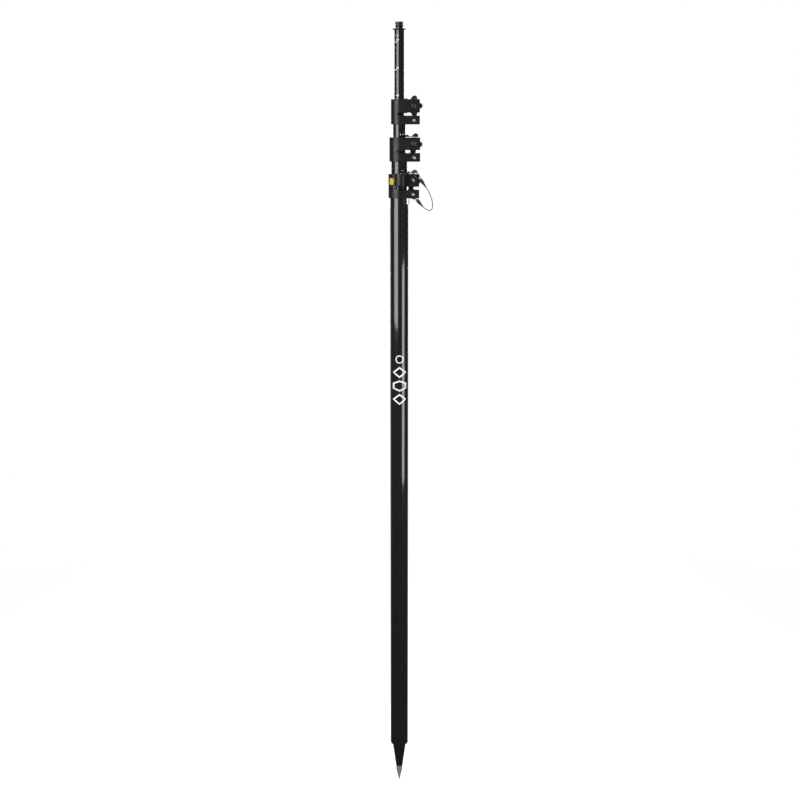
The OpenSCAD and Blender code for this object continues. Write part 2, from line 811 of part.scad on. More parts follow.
// ---------------------------------------------------------------- nodes

base_tube();
foot_socket();
foot_cone();
foot_point();
lower_clamp_body();
lower_clamp_liner();
lower_clamp_fixing_screw();
lower_draw_bolt();
lower_thrust_washer();
lower_knob();
lower_knob_insert();
level_cup();
level_fluid();
level_glass();
level_bezel();
level_screws();
colour_plate();
lock_pin();
pull_ring();
lanyard_upper_loop();
lanyard_upper_crimp();
lanyard_cable();
lanyard_lower_crimp();
lanyard_lower_loop();
lanyard_anchor_screw();
lower_tube();
lower_guide_bush();
lower_stop_plug();
middle_clamp_body();
middle_clamp_liner();
middle_clamp_fixing_screw();
middle_draw_bolt();
middle_thrust_washer();
middle_knob();
middle_knob_insert();
middle_tube();
middle_guide_bush();
middle_stop_plug();
upper_clamp_body();
upper_clamp_liner();
upper_clamp_fixing_screw();
upper_draw_bolt();
upper_thrust_washer();
upper_knob();
upper_knob_insert();
top_tube();
top_guide_bush();
top_stop_plug();
top_adapter();
top_stud();
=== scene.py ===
import math

import bmesh
import bpy
import numpy as np
from mathutils import Matrix, Vector


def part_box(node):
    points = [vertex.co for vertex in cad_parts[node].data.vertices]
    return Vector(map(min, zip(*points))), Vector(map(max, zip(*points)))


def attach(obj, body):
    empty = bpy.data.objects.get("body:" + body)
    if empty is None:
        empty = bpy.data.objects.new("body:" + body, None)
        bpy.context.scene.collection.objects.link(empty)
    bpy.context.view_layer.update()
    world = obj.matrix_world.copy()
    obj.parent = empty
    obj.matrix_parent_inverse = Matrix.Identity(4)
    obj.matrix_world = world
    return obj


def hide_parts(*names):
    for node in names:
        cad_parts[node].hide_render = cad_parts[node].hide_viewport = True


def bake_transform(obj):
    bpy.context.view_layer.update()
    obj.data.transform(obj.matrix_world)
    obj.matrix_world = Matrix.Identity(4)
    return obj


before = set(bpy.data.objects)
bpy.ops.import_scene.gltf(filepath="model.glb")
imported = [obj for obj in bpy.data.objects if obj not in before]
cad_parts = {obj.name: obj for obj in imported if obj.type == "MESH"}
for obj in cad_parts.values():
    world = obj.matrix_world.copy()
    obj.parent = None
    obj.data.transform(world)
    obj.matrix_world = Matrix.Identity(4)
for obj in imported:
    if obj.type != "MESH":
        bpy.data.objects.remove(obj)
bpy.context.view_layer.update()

# Looks of the telescopic prism pole. Sizes are in millimetres unless a name says otherwise.
# Places come from the CAD nodes' boxes; only small finishing sizes are stated here.

MM = 0.001
TAU = 2 * math.pi
CLAMPS = ("lower", "middle", "upper")
OUTER_TUBE = {"lower": "base_tube", "middle": "lower_tube", "upper": "middle_tube"}
HOLDER = {"lower": "base", "middle": "lower_section", "upper": "middle_section"}
# How far each clamp's slot runs past the pole's axis, and how far each knob is turned, in degrees.
SLOT_REACH = {"lower": 8.5, "middle": 6.6, "upper": 4.6}
KNOB_TURN = {"lower": 15.0, "middle": 9.5, "upper": 0.0}
# The base tube is thinner by SEAT_STEP where the lower clamp is bonded, from SEAT_TAIL below the clamp.
SEAT_STEP, SEAT_TAIL = 0.3, 20.0
BASE_WALL, WALL = 1.4, 1.3
FIT = 0.02
BOLT_HOLE_R = 3.05
KNOB_R = 20.0
RING_R, RING_TILT = 5.3, math.radians(18.0)
ROPE_R, ROPE_LAY = 0.8, 5.6
PRINT_LIFT = 0.03
CELL = 0.45


def box(node):
    """Lowest and highest corners of a CAD node, in millimetres, as numpy arrays."""
    lo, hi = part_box(node)
    return np.array(lo) / MM, np.array(hi) / MM


def centre(node):
    lo, hi = box(node)
    return (lo + hi) / 2


def linked(name, data):
    """A new object in the scene."""
    obj = bpy.data.objects.new(name, data)
    bpy.context.scene.collection.objects.link(obj)
    return obj


# ------------------------------------------------------------------ mesh builders

def add_mesh(name, verts, faces, body, material, slot, replaces=()):
    """Makes a piece from vertices in millimetres and rides it on a body."""
    mesh = bpy.data.meshes.new(name)
    mesh.from_pydata((np.asarray(verts, float) * MM).tolist(), [], [list(map(int, f)) for f in faces])
    mesh.validate()
    return add_piece(name, mesh, body, material, replaces)


def add_piece(name, mesh, body, material, replaces=(), smooth=True):
    """Makes a piece from a finished mesh: outward normals, shading, material and body."""
    bm = bmesh.new()
    bm.from_mesh(mesh)
    bmesh.ops.recalc_face_normals(bm, faces=bm.faces)
    bm.to_mesh(mesh)
    bm.free()
    if smooth:
        mesh.polygons.foreach_set("use_smooth", [True] * len(mesh.polygons))
        mesh.set_sharp_from_angle(angle=math.radians(35))
    obj = linked(name, mesh)
    mesh.materials.append(material)
    if body:
        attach(obj, body)
    if replaces:
        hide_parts(*replaces)
    return obj


def ring_surface(rings, closed_ends=True, closed_loop=False):
    """Vertices and faces of a skin over rings of equal length."""
    rings = np.asarray(rings, float)
    count, width = rings.shape[:2]
    verts = rings.reshape(-1, 3)
    i, j = np.meshgrid(np.arange(count if closed_loop else count - 1), np.arange(width), indexing="ij")
    following = (i + 1) % count
    faces = np.stack([i * width + j, i * width + (j + 1) % width,
                      following * width + (j + 1) % width, following * width + j], -1).reshape(-1, 4).tolist()
    if closed_ends and not closed_loop:
        faces.append(list(range(width))[::-1])
        faces.append(list(range((count - 1) * width, count * width)))
    return verts, faces


def circle(r, z, segments):
    """A ring of points round +Z, at one radius or with a radius for each point."""
    turn = np.arange(segments) * TAU / segments
    return np.stack([r * np.cos(turn), r * np.sin(turn), np.full(segments, z)], -1)


def rounded(profile, radius, steps=4):
    """A closed or open (r, z) profile with each inner corner rounded."""
    points = [np.array(p, float) for p in profile]
    out = [points[0]]
    for before, corner, after in zip(points, points[1:], points[2:]):
        a, b = before - corner, after - corner
        la, lb = np.linalg.norm(a), np.linalg.norm(b)
        reach = min(radius, 0.45 * la, 0.45 * lb)
        start, end = corner + a * reach / la, corner + b * reach / lb
        for t in np.linspace(0, 1, steps + 1):
            out.append((1 - t) ** 2 * start + 2 * t * (1 - t) * corner + t * t * end)
    out.append(points[-1])
    return np.array(out)


def lathe(profile, segments=128, rounding=0.0):
    """Vertices and faces of a solid turned about +Z. The profile is (r, z), from one axis point to the
    other, or a closed outline that stays off the axis."""
    profile = np.array(profile, float)
    solid = profile[0][0] == 0 and profile[-1][0] == 0
    if not solid:
        profile = np.vstack([profile, profile[:1]])
    if rounding:
        profile = rounded(profile, rounding)
    rings = [circle(r, z, segments) for r, z in profile]
    if not solid:
        return ring_surface(rings[:-1], closed_loop=True)
    verts, faces = ring_surface(rings[1:-1], closed_ends=False)
    bottom, top = len(verts), len(verts) + 1
    last = (len(rings) - 3) * segments
    verts = np.vstack([verts, [[0, 0, profile[0][1]], [0, 0, profile[-1][1]]]])
    for j in range(segments):
        k = (j + 1) % segments
        faces.append([bottom, k, j])
        faces.append([top, last + j, last + k])
    return verts, faces


def dome(rim_r, rise, steps):
    """Profile of a spherical cap on z = 0, from just inside its rim to its crown."""
    ball = (rim_r ** 2 + rise ** 2) / (2 * rise)
    arc = np.linspace(0, math.asin(rim_r / ball), steps)[-2:0:-1]
    return [(ball * math.sin(a), rise - ball + ball * math.cos(a)) for a in arc] + [(0, rise)]


def placed(shape, origin, direction=(0, 0, 1)):
    """The shape's vertices with its +Z turned to a direction and its origin moved."""
    verts, faces = shape
    turn = np.array(Vector(direction).to_track_quat("Z", "Y").to_matrix())
    return verts @ turn.T + np.asarray(origin, float), faces


def joined(*shapes):
    """Several shapes as one."""
    verts, faces, base = [], [], 0
    for v, f in shapes:
        verts.append(np.asarray(v, float))
        faces += [[index + base for index in face] for face in f]
        base += len(v)
    return np.vstack(verts), faces


def sdf_shape(sdf, lo, hi, cell):
    """Closed mesh of the solid where sdf is negative: surface nets, then two steps onto the true surface."""
    lo = np.array(lo, float) - 2 * cell
    size = np.ceil((np.array(hi, float) + 2 * cell - lo) / cell).astype(int) + 1
    grid = np.meshgrid(*[lo[a] + cell * np.arange(size[a]) for a in range(3)], indexing="ij", sparse=True)
    value = np.broadcast_to(sdf(*grid), tuple(size)).astype(float)
    cells = tuple(size - 1)
    corner_cells, corner_points, quads = [], [], []
    for axis in range(3):
        first = [slice(None)] * 3
        second = [slice(None)] * 3
        first[axis], second[axis] = slice(0, -1), slice(1, None)
        a, b = value[tuple(first)], value[tuple(second)]
        crossing = np.argwhere((a < 0) != (b < 0))
        va, vb = a[tuple(crossing.T)], b[tuple(crossing.T)]
        point = crossing.astype(float)
        point[:, axis] += va / (va - vb)
        u, v = (axis + 1) % 3, (axis + 2) % 3
        quad = []
        for du, dv in ((0, 0), (1, 0), (1, 1), (0, 1)):
            index = crossing.copy()
            index[:, u] -= du
            index[:, v] -= dv
            flat = np.ravel_multi_index(index.T, cells)
            corner_cells.append(flat)
            corner_points.append(point)
            quad.append(flat)
        quads.append(np.stack(quad, -1))
    corner_cells = np.concatenate(corner_cells)
    corner_points = np.concatenate(corner_points)
    used, place = np.unique(corner_cells, return_inverse=True)
    counts = np.bincount(place)
    verts = np.stack([np.bincount(place, corner_points[:, a]) / counts for a in range(3)], -1)
    verts = lo + cell * verts
    faces = np.searchsorted(used, np.concatenate(quads))
    nudge = 0.02
    for _ in range(2):
        here = sdf(*verts.T)
        slope = np.stack([(sdf(*(verts + nudge * np.eye(3)[a]).T) - sdf(*(verts - nudge * np.eye(3)[a]).T))
                          / (2 * nudge) for a in range(3)], -1)
        square = np.maximum((slope ** 2).sum(-1), 0.25)
        verts = verts - slope * np.clip(here / square, -cell / 2, cell / 2)[:, None]
    return verts, faces.tolist()


# Signed distances: negative inside. Coordinates are arrays of millimetres.

def meet(a, b, radius):
    """Intersection with a rounded edge."""
    if not radius:
        return np.maximum(a, b)
    return (np.minimum(-radius, np.maximum(a, b))
            + np.hypot(np.maximum(radius + a, 0), np.maximum(radius + b, 0)))


def cut(a, b, radius):
    """Solid a without solid b, with a rounded edge."""
    return meet(a, -b, radius)


def fuse(a, b, radius):
    """Union with a filleted corner."""
    return (np.maximum(radius, np.minimum(a, b))
            - np.hypot(np.maximum(radius - a, 0), np.maximum(radius - b, 0)))


def rod(u, v, at, radius):
    """Endless round rod: u and v are the two coordinates across it."""
    return np.hypot(u - at[0], v - at[1]) - radius


def slab(w, low, high):
    return np.maximum(low - w, w - high)


# ------------------------------------------------------------------ wrapped marks

def wrap(bm, name, radius, angle, z, body, material, lift, step):
    """Turns a flat, thick drawing (x across, y up, z thickness) round a tube, starting square to angle."""
    width = [v.co.x for v in bm.verts]
    for x in np.arange(min(width) + step, max(width), step):
        bmesh.ops.bisect_plane(bm, geom=bm.verts[:] + bm.edges[:] + bm.faces[:],
                               plane_co=(x, 0, 0), plane_no=(1, 0, 0))
    for v in bm.verts:
        turn = math.radians(angle) + v.co.x / radius
        r = radius + (lift if v.co.z > 0 else -lift)
        v.co = Vector((r * math.sin(turn), -r * math.cos(turn), z + v.co.y)) * MM
    mesh = bpy.data.meshes.new(name)
    bm.to_mesh(mesh)
    bm.free()
    return add_piece(name, mesh, body, material, smooth=False)


def drawn(shapes):
    """A bmesh with each outline, a list of (x, y), as a thick flat plate."""
    bm = bmesh.new()
    for shape in shapes:
        low = [bm.verts.new((x, y, -1)) for x, y in shape]
        high = [bm.verts.new((x, y, 1)) for x, y in shape]
        bm.faces.new(low[::-1])
        bm.faces.new(high)
        for i in range(len(shape)):
            j = (i + 1) % len(shape)
            bm.faces.new((low[i], low[j], high[j], high[i]))
    return bm


def bar(x0, x1, y0, y1):
    return [(x0, y0), (x1, y0), (x1, y1), (x0, y1)]


def numerals(texts, size):
    """A bmesh of numerals, each given as (text, x, y) of its centre, in the built-in face."""
    bm = bmesh.new()
    for text, x, y in texts:
        curve = bpy.data.curves.new("numeral", "FONT")
        curve.body, curve.size = text, size
        curve.align_x, curve.align_y = "CENTER", "CENTER"
        curve.extrude, curve.resolution_u = 1.0, 4
        holder = linked("numeral", curve)
        bpy.context.view_layer.update()
        shown = holder.evaluated_get(bpy.context.evaluated_depsgraph_get())
        mesh = bpy.data.meshes.new_from_object(shown)
        mesh.transform(Matrix.Translation((x, y, 0)))
        bm.from_mesh(mesh)
        bpy.data.objects.remove(holder)
        bpy.data.meshes.remove(mesh)
    bmesh.ops.remove_doubles(bm, verts=bm.verts, dist=1e-5)
    return bm


# ------------------------------------------------------------------ materials

class Tree:
    """Short-hand for building a node tree."""

    def __init__(self, tree):
        self.tree = tree

    def node(self, kind, **settings):
        made = self.tree.nodes.new(kind)
        for key, value in settings.items():
            setattr(made, key, value)
        return made

    def feed(self, socket, value):
        """Links a socket, or sets a number or a colour."""
        if isinstance(value, bpy.types.NodeSocket):
            self.tree.links.new(value, socket)
        else:
            socket.default_value = (*value, 1.0) if isinstance(value, tuple) else value

    def math(self, operation, a, b=0.0, c=0.0):
        made = self.node("ShaderNodeMath", operation=operation)
        for socket, value in zip(made.inputs, (a, b, c)):
            self.feed(socket, value)
        return made.outputs[0]

    def mix(self, factor, low, high):
        """A colour that runs from low to high."""
        blend = self.node("ShaderNodeMix", data_type="RGBA")
        self.feed(blend.inputs["Factor"], factor)
        self.feed(blend.inputs["A"], low)
        self.feed(blend.inputs["B"], high)
        return blend.outputs["Result"]

    def split(self, vector):
        """The X, Y and Z outputs of a vector."""
        made = self.node("ShaderNodeSeparateXYZ")
        self.feed(made.inputs[0], vector)
        return made.outputs

    def coordinates(self):
        return self.node("ShaderNodeTexCoord").outputs["Object"]

    def noise(self, scale, detail=3.0, stretch=(1, 1, 1)):
        """Noise over the object's coordinates, stretched."""
        mapping = self.node("ShaderNodeMapping")
        self.feed(mapping.inputs["Vector"], self.coordinates())
        mapping.inputs["Scale"].default_value = stretch
        made = self.node("ShaderNodeTexNoise")
        self.feed(made.inputs["Vector"], mapping.outputs[0])
        self.feed(made.inputs["Scale"], scale)
        self.feed(made.inputs["Detail"], detail)
        return made.outputs["Fac"]

    def ramp(self, fac, low, high, start=0.3, end=0.7):
        """A number or colour that runs from low to high as fac goes from start to end."""
        share = self.node("ShaderNodeMapRange")
        self.feed(share.inputs["Value"], fac)
        self.feed(share.inputs["From Min"], start)
        self.feed(share.inputs["From Max"], end)
        if isinstance(low, tuple):
            return self.mix(share.outputs[0], low, high)
        self.feed(share.inputs["To Min"], low)
        self.feed(share.inputs["To Max"], high)
        return share.outputs[0]


class Nodes(Tree):
    """Short-hand for a Principled material."""

    def __init__(self, name, **inputs):
        self.material = bpy.data.materials.new(name)
        self.material.use_nodes = True
        super().__init__(self.material.node_tree)
        self.shader = self.tree.nodes["Principled BSDF"]
        for key, value in inputs.items():
            self.set(key.replace("_", " "), value)

    def set(self, key, value):
        self.feed(self.shader.inputs[key], value)

    def bump(self, height, depth_mm, strength):
        made = self.node("ShaderNodeBump")
        self.feed(made.inputs["Strength"], strength)
        self.feed(made.inputs["Distance"], depth_mm * MM)
        self.feed(made.inputs["Height"], height)
        self.set("Normal", made.outputs[0])
        return self


def carbon(name, radius):
    """2/2 twill of carbon tows round a tube, under a clear gloss coat. The tows' tone is painted sheen: tows
    along the tube are painted lighter than tows round it, and each tow's crown is painted lighter as a
    highlight.
    """
    tow = 2.0
    around = max(4, 4 * round(TAU * radius / tow / 4))
    n = Nodes(name, Roughness=0.42, Coat_Weight=1.0, Coat_Roughness=0.07, Coat_IOR=1.5)
    place = n.split(n.coordinates())
    turn = n.math("ARCTAN2", place["Y"], place["X"])
    u = n.math("MULTIPLY", turn, around / TAU)
    v = n.math("MULTIPLY", place["Z"], 1 / (tow * MM))
    step = n.math("ADD", n.math("FLOOR", u), n.math("FLOOR", v))
    over = n.math("LESS_THAN", n.math("FLOORED_MODULO", step, 4.0), 2.0)
    crown_u = n.math("SINE", n.math("MULTIPLY", n.math("FRACT", u), math.pi))
    crown_v = n.math("SINE", n.math("MULTIPLY", n.math("FRACT", v), math.pi))
    crown = n.math("ADD", n.math("MULTIPLY", crown_u, over),
                   n.math("MULTIPLY", crown_v, n.math("SUBTRACT", 1.0, over)))
    fibre = n.noise(900.0, 2.0, (3.0, 3.0, 0.5))
    # Painted sheen and highlight: the on-top tow along the tube is lighter, and so is each tow's crown; the
    # fibre noise is grain.
    tone = n.math("MULTIPLY_ADD", over, 0.5, n.math("MULTIPLY", crown, 0.3))
    tone = n.math("ADD", tone, n.math("MULTIPLY", fibre, 0.25))
    n.set("Base Color", n.ramp(tone, (0.002, 0.002, 0.0021), (0.009, 0.0087, 0.0087), 0.1, 0.95))
    n.set("Specular IOR Level", 0.04)
    return n.bump(crown, 0.012, 0.3).material


def black_alloy(name, tone=0.008, rough=0.38):
    """Matte black anodised aluminium: bead-blasted grain, and edges lightened from pointiness, partly as wear
    and partly as a painted edge highlight.
    """
    n = Nodes(name, Metallic=0.55)
    edge = n.node("ShaderNodeNewGeometry").outputs["Pointiness"]
    mottled = n.noise(140.0, 4.0)
    colour = n.ramp(mottled, (tone * 0.85,) * 3, (tone * 1.15, tone * 1.15, tone * 1.22))
    # Painted edge highlight together with wear: pointiness lightens the edges.
    edge_wear_and_sheen = n.ramp(edge, 0.0, 0.35, 0.53, 0.60)
    n.set("Base Color", n.mix(edge_wear_and_sheen, colour, (tone * 5, tone * 5, tone * 5.2)))
    n.set("Roughness", n.ramp(n.noise(60.0), rough - 0.05, rough + 0.07))
    return n.bump(n.noise(2600.0, 2.0), 0.02, 0.35).material


def shades(colour, *shares):
    """Darker or lighter versions of a colour."""
    return [tuple(c * share for c in colour) for share in shares]


def steel(name, colour, rough, stretch, depth=0.008, metal=1.0):
    """Bare metal with fine tool marks, across the direction that stretch squeezes."""
    n = Nodes(name, Metallic=metal)
    marks = n.noise(420.0, 4.0, stretch)
    n.set("Base Color", n.ramp(n.noise(90.0), *shades(colour, 0.86, 1)))
    n.set("Roughness", n.ramp(marks, rough - 0.07, rough + 0.1))
    n.set("Anisotropic", 0.35)
    return n.bump(marks, depth, 0.6).material


def plastic(name, colour, rough, grain=1800.0):
    """Moulded plastic with a fine eroded grain and faint colour variation."""
    n = Nodes(name)
    n.set("Base Color", n.ramp(n.noise(70.0), *shades(colour, 0.88, 1.08)))
    n.set("Roughness", n.ramp(n.noise(240.0, 2.0), rough - 0.06, rough + 0.08))
    return n.bump(n.noise(grain, 2.0), 0.03, 0.5).material


def paint(name, colour, rough):
    """Thin printed or enamelled layer with slight wear."""
    n = Nodes(name, Coat_Weight=0.3, Coat_Roughness=0.15)
    n.set("Base Color", n.ramp(n.noise(320.0, 5.0), *shades(colour, 0.82, 1), 0.25, 0.5))
    n.set("Roughness", n.ramp(n.noise(500.0, 2.0), rough - 0.05, rough + 0.1))
    return n.bump(n.noise(900.0, 2.0), 0.01, 0.4).material


def clear(name, colour, rough=0.02, ior=1.5, weight=1.0):
    """Clear glass or liquid."""
    n = Nodes(name, IOR=ior, Transmission_Weight=weight)
    n.set("Base Color", colour)
    n.set("Roughness", n.ramp(n.noise(60.0, 2.0), rough, rough + 0.02))
    return n.material


BLACK = black_alloy("black_anodised")
CONE_BLACK = black_alloy("cone_anodised", 0.012, 0.34)
BOLT = steel("zinc_steel", (0.46, 0.46, 0.455), 0.30, (1, 6, 1))
DARK_BOLT = steel("oxide_steel", (0.12, 0.117, 0.113), 0.28, (1, 6, 1))
RING = steel("ring_wire", (0.78, 0.77, 0.75), 0.14, (4, 4, 4))
WIRE = steel("wire_rope", (0.09, 0.084, 0.078), 0.34, (5, 5, 5))
POINT = steel("point_steel", (0.27, 0.232, 0.195), 0.42, (1, 1, 18), 0.015, 0.45)
STUD = steel("stud_steel", (0.10, 0.10, 0.103), 0.30, (1, 1, 10), 0.012)
BEZEL = steel("bezel_alloy", (0.10, 0.10, 0.105), 0.32, (3, 3, 3))
BRASS = steel("insert_brass", (0.62, 0.45, 0.17), 0.30, (1, 8, 1))
KNOB = plastic("knob_nylon", (0.008, 0.008, 0.008), 0.44)
SLEEVE = plastic("sleeve_plastic", (0.006, 0.006, 0.006), 0.42, 900.0)
LINER = plastic("liner_nylon", (0.075, 0.075, 0.08), 0.5)
BUSH = plastic("bush_acetal", (0.70, 0.69, 0.65), 0.36, 700.0)
PLUG = plastic("plug_nylon", (0.05, 0.05, 0.055), 0.5)
CUP = plastic("cup_plastic", (0.74, 0.73, 0.68), 0.4, 700.0)
WHITE = paint("scale_white", (0.50, 0.50, 0.49), 0.45)
YELLOW = paint("plate_yellow", (0.34, 0.265, 0.008), 0.32)
LENS = clear("level_lens", (0.96, 0.98, 0.98))
FLUID = clear("level_spirit", (0.78, 0.90, 0.18), 0.03, 1.36, 0.9)


# ------------------------------------------------------------------ tubes

def tubes():
    """The four carbon tubes, with a small break on each end edge."""
    bodies = {"base_tube": "base", "lower_tube": "lower_section",
              "middle_tube": "middle_section", "top_tube": "top_section"}
    for node, body in bodies.items():
        lo, hi = box(node)
        outer, inner = hi[0], hi[0] - (BASE_WALL if node == "base_tube" else WALL)
        profile = [(inner, lo[2]), (outer, lo[2]), (outer, hi[2]), (inner, hi[2])]
        if node == "base_tube":
            seat_z = box("lower_clamp_body")[0][2] - SEAT_TAIL
            profile[2:3] = [(outer, seat_z), (outer - SEAT_STEP, seat_z), (outer - SEAT_STEP, hi[2])]
        add_mesh(node + "_carbon", *lathe(profile, 192, 0.25), body, carbon(node + "_twill", outer),
                 "carbon", [node])


def outline(points, width):
    """Bars of a width that follow the inside of a closed outline."""
    points = np.asarray(points, float)
    middle = points.mean(axis=0)
    reach = min(abs(np.cross(b - a, middle - a)) / np.linalg.norm(b - a)
                for a, b in zip(points, np.roll(points, -1, axis=0)))
    inner = middle + (points - middle) * (1 - width / reach)
    return [[points[i - 1], points[i], inner[i], inner[i - 1]] for i in range(len(points))]


def printed(bm, name, tube, angle, z, body, lift=PRINT_LIFT, step=0.4):
    """A drawing in white on a tube."""
    wrap(bm, name, box(tube)[1][0], angle, z, body, WHITE, lift, step)


def base_mark():
    """Plain white pattern of a small ring and three open shapes down the front of the base tube."""
    middle, angle = 840.0, -3.5
    half, tall, stroke = 14.5, 11.0, 2.9
    ring_y, ring_r, ring_stroke = 40.5, 8.0, 2.0
    turn = np.radians(np.arange(0, 360, 15))
    shapes = outline(np.stack([ring_r * np.cos(turn), ring_y + ring_r * np.sin(turn)], -1), ring_stroke)
    for y in (15.0, -38.0):
        shapes += outline([(0, y - tall), (half, y), (0, y + tall), (-half, y)], stroke)
    y = -11.5
    shapes += outline([(0, y - tall), (half, y - tall / 2), (half, y + tall / 2), (0, y + tall),
                       (-half, y + tall / 2), (-half, y - tall / 2)], stroke)
    printed(drawn(shapes), "base_mark", "base_tube", angle, middle, "base", lift=0.04, step=0.8)


def top_scale():
    """Centimetre graduations and numerals on the top tube. Angles go round the tube from its front."""
    radius, end = box("top_tube")[1][0], box("top_tube")[1][2]
    top, pitch, count, per_label = round(end) - 22, 10, 10, 5
    edge, short, long = -95.0, -62.0, -37.5
    arc = math.radians(1) * radius
    ticks = []
    for i in range(count):
        reach, half = (short, 0.35) if i % per_label else (long, 0.55)
        ticks.append(bar((edge - long) * arc, (reach - long) * arc, -pitch * i - half, -pitch * i + half))
    printed(drawn(ticks), "scale_ticks", "top_tube", long, top, "top_section")
    label_angle, label_rise, label_size = -28.0, 3.3, 5.6
    labels = [(str(50 - per_label * i), 0, label_rise - pitch * per_label * i) for i in range(3)]
    printed(numerals(labels, label_size), "scale_numerals", "top_tube", label_angle, top, "top_section")
    header_angle, header_rise, header_size, spread = -36.0, 11.0, 6.2, 1.8
    printed(numerals([("1", -spread, 0), ("3", spread, 0)], header_size), "scale_header", "top_tube",
            header_angle, top + header_rise, "top_section")


def section_numerals():
    """A pair of numerals on the middle and lower tubes, above the clamps that they come out of."""
    for k, digits, spread, size, angle, rise in (("middle", "30", 2.7, 5.0, 18.0, 5.2),
                                                 ("lower", "17", 1.9, 4.8, 21.0, 5.6)):
        pair = [(digits[0], -spread, 0), (digits[1], spread, 0)]
        printed(numerals(pair, size), k + "_tube_numerals", k + "_tube", angle,
                box(k + "_clamp_body")[1][2] + rise, k + "_section")


# ------------------------------------------------------------------ clamps

def clamp_sizes(k):
    """Driving sizes of a clamp, read from the CAD nodes."""
    lo, hi = box(k + "_clamp_body")
    tube_r, tube_top = box(OUTER_TUBE[k])[1][[0, 2]]
    bolt = centre(k + "_thrust_washer")
    liner = box(k + "_clamp_liner")
    return {
        "z0": lo[2], "z1": hi[2], "r": hi[1], "ear": hi[0],
        "slot0": tube_top + 0.5, "slot1": liner[0][2],
        "outer": tube_r - (SEAT_STEP if k == "lower" else 0), "liner": liner[1][1],
        "bolt": (bolt[0], bolt[2]), "fixing": centre(k + "_clamp_fixing_screw")[[0, 2]],
    }


def clamp_solid(k, s):
    """Signed distance of a clamp body."""
    edge, fine = 0.7, 0.35
    slit, chamfer = 2.6, 2.5
    boss_r, boss_fillet, boss_lift = 11.4, 1.2, 2.5
    screw_hole_r, screw_head_r, screw_skin, screw_depth = 2.05, 3.5, 4.0, 3.0
    recess_r, recess_depth = 5.75, 4.0
    cup_r, cup_depth, pin_hole_r, anchor_hole_r, anchor_depth = 7.6, 13.0, 2.75, 1.52, 4.5
    r, ear = s["r"], s["ear"]
    half_slot = (s["slot1"] - s["slot0"]) / 2
    slot_x, slot_z = half_slot - SLOT_REACH[k], (s["slot0"] + s["slot1"]) / 2

    def sdf(x, y, z):
        square = np.maximum(np.maximum(np.abs(y) - r, x - ear), -x)
        square = np.maximum(square, (np.abs(y) + x - (ear + r - chamfer)) / math.sqrt(2))
        solid = meet(np.minimum(rod(x, y, (0, 0), r), square), slab(z, s["z0"], s["z1"]), edge)
        if k == "lower":
            cup = centre("level_cup")
            boss = meet(rod(x, y, cup[:2], boss_r), slab(z, s["slot1"] + boss_lift, s["z1"]), edge)
            solid = fuse(solid, boss, boss_fillet)
        low_bore = np.maximum(rod(x, y, (0, 0), s["outer"] + FIT), z - s["slot0"])
        high_bore = np.maximum(rod(x, y, (0, 0), s["liner"] + FIT), s["slot0"] - z)
        solid = cut(solid, np.minimum(low_bore, high_bore), fine)
        solid = cut(solid, np.maximum(np.abs(y) - slit / 2, -x), fine)
        solid = cut(solid, np.hypot(np.minimum(x - slot_x, 0), z - slot_z) - half_slot, fine)
        solid = cut(solid, rod(x, z, s["bolt"], BOLT_HOLE_R), fine)
        solid = cut(solid, np.maximum(rod(x, z, s["fixing"], screw_hole_r), y - (r - screw_skin)), 0)
        solid = cut(solid, np.maximum(rod(x, z, s["fixing"], screw_head_r), y - (screw_depth - r)), fine)
        if k != "lower":
            return cut(solid, np.maximum(rod(x, z, s["bolt"], recess_r), y - (recess_depth - r)), fine)
        pin, anchor = centre("lock_pin"), centre("lanyard_anchor_screw")
        solid = cut(solid, np.maximum(rod(x, y, cup[:2], cup_r), s["z1"] - cup_depth - z), fine)
        solid = cut(solid, rod(x, y, pin[:2], pin_hole_r), fine)
        anchor_hole = np.maximum(rod(x, y, anchor[:2], anchor_hole_r), z - s["z0"] - anchor_depth)
        return cut(solid, anchor_hole, fine)

    return sdf


def clamps():
    for k in CLAMPS:
        shape = sdf_shape(clamp_solid(k, clamp_sizes(k)), *box(k + "_clamp_body"), CELL)
        add_mesh(k + "_clamp", *shape, HOLDER[k], BLACK, "black_alloy", [k + "_clamp_body"])


def hex_socket_head(radius, height, socket, depth, rounding):
    """Screw head standing on z = 0 with a hexagon socket in its top, as a polar skin."""
    segments = 96
    turn = np.arange(segments) * TAU / segments
    sixth = (turn + math.pi / 6) % (math.pi / 3) - math.pi / 6
    hexagon = socket * math.cos(math.pi / 6) / np.cos(sixth)
    rim = rounded([(radius, 0), (radius, height), (socket * 1.12, height)], rounding)
    rings = [circle(r, z, segments) for r, z in rim]
    lead, drill = 0.12, 0.4
    for scale, z in ((1.03, height), (1.0, height - lead), (1.0, height - depth),
                     (0.2, height - depth - drill)):
        rings.append(circle(scale * hexagon, z, segments))
    return ring_surface(rings)


def knurled(shape, radius, height, count=36, depth=0.14):
    """Straight knurling on the upright side of a head."""
    verts, faces = shape
    reach = np.hypot(verts[:, 0], verts[:, 1])
    side = (reach > radius - 0.05) & (verts[:, 2] > 0.1) & (verts[:, 2] < height)
    turn = np.arctan2(verts[:, 1], verts[:, 0])
    scale = np.where(side, 1 - depth / radius * (0.5 + 0.5 * np.cos(count * turn)), 1.0)
    verts = verts.copy()
    verts[:, 0] *= scale
    verts[:, 1] *= scale
    return verts, faces


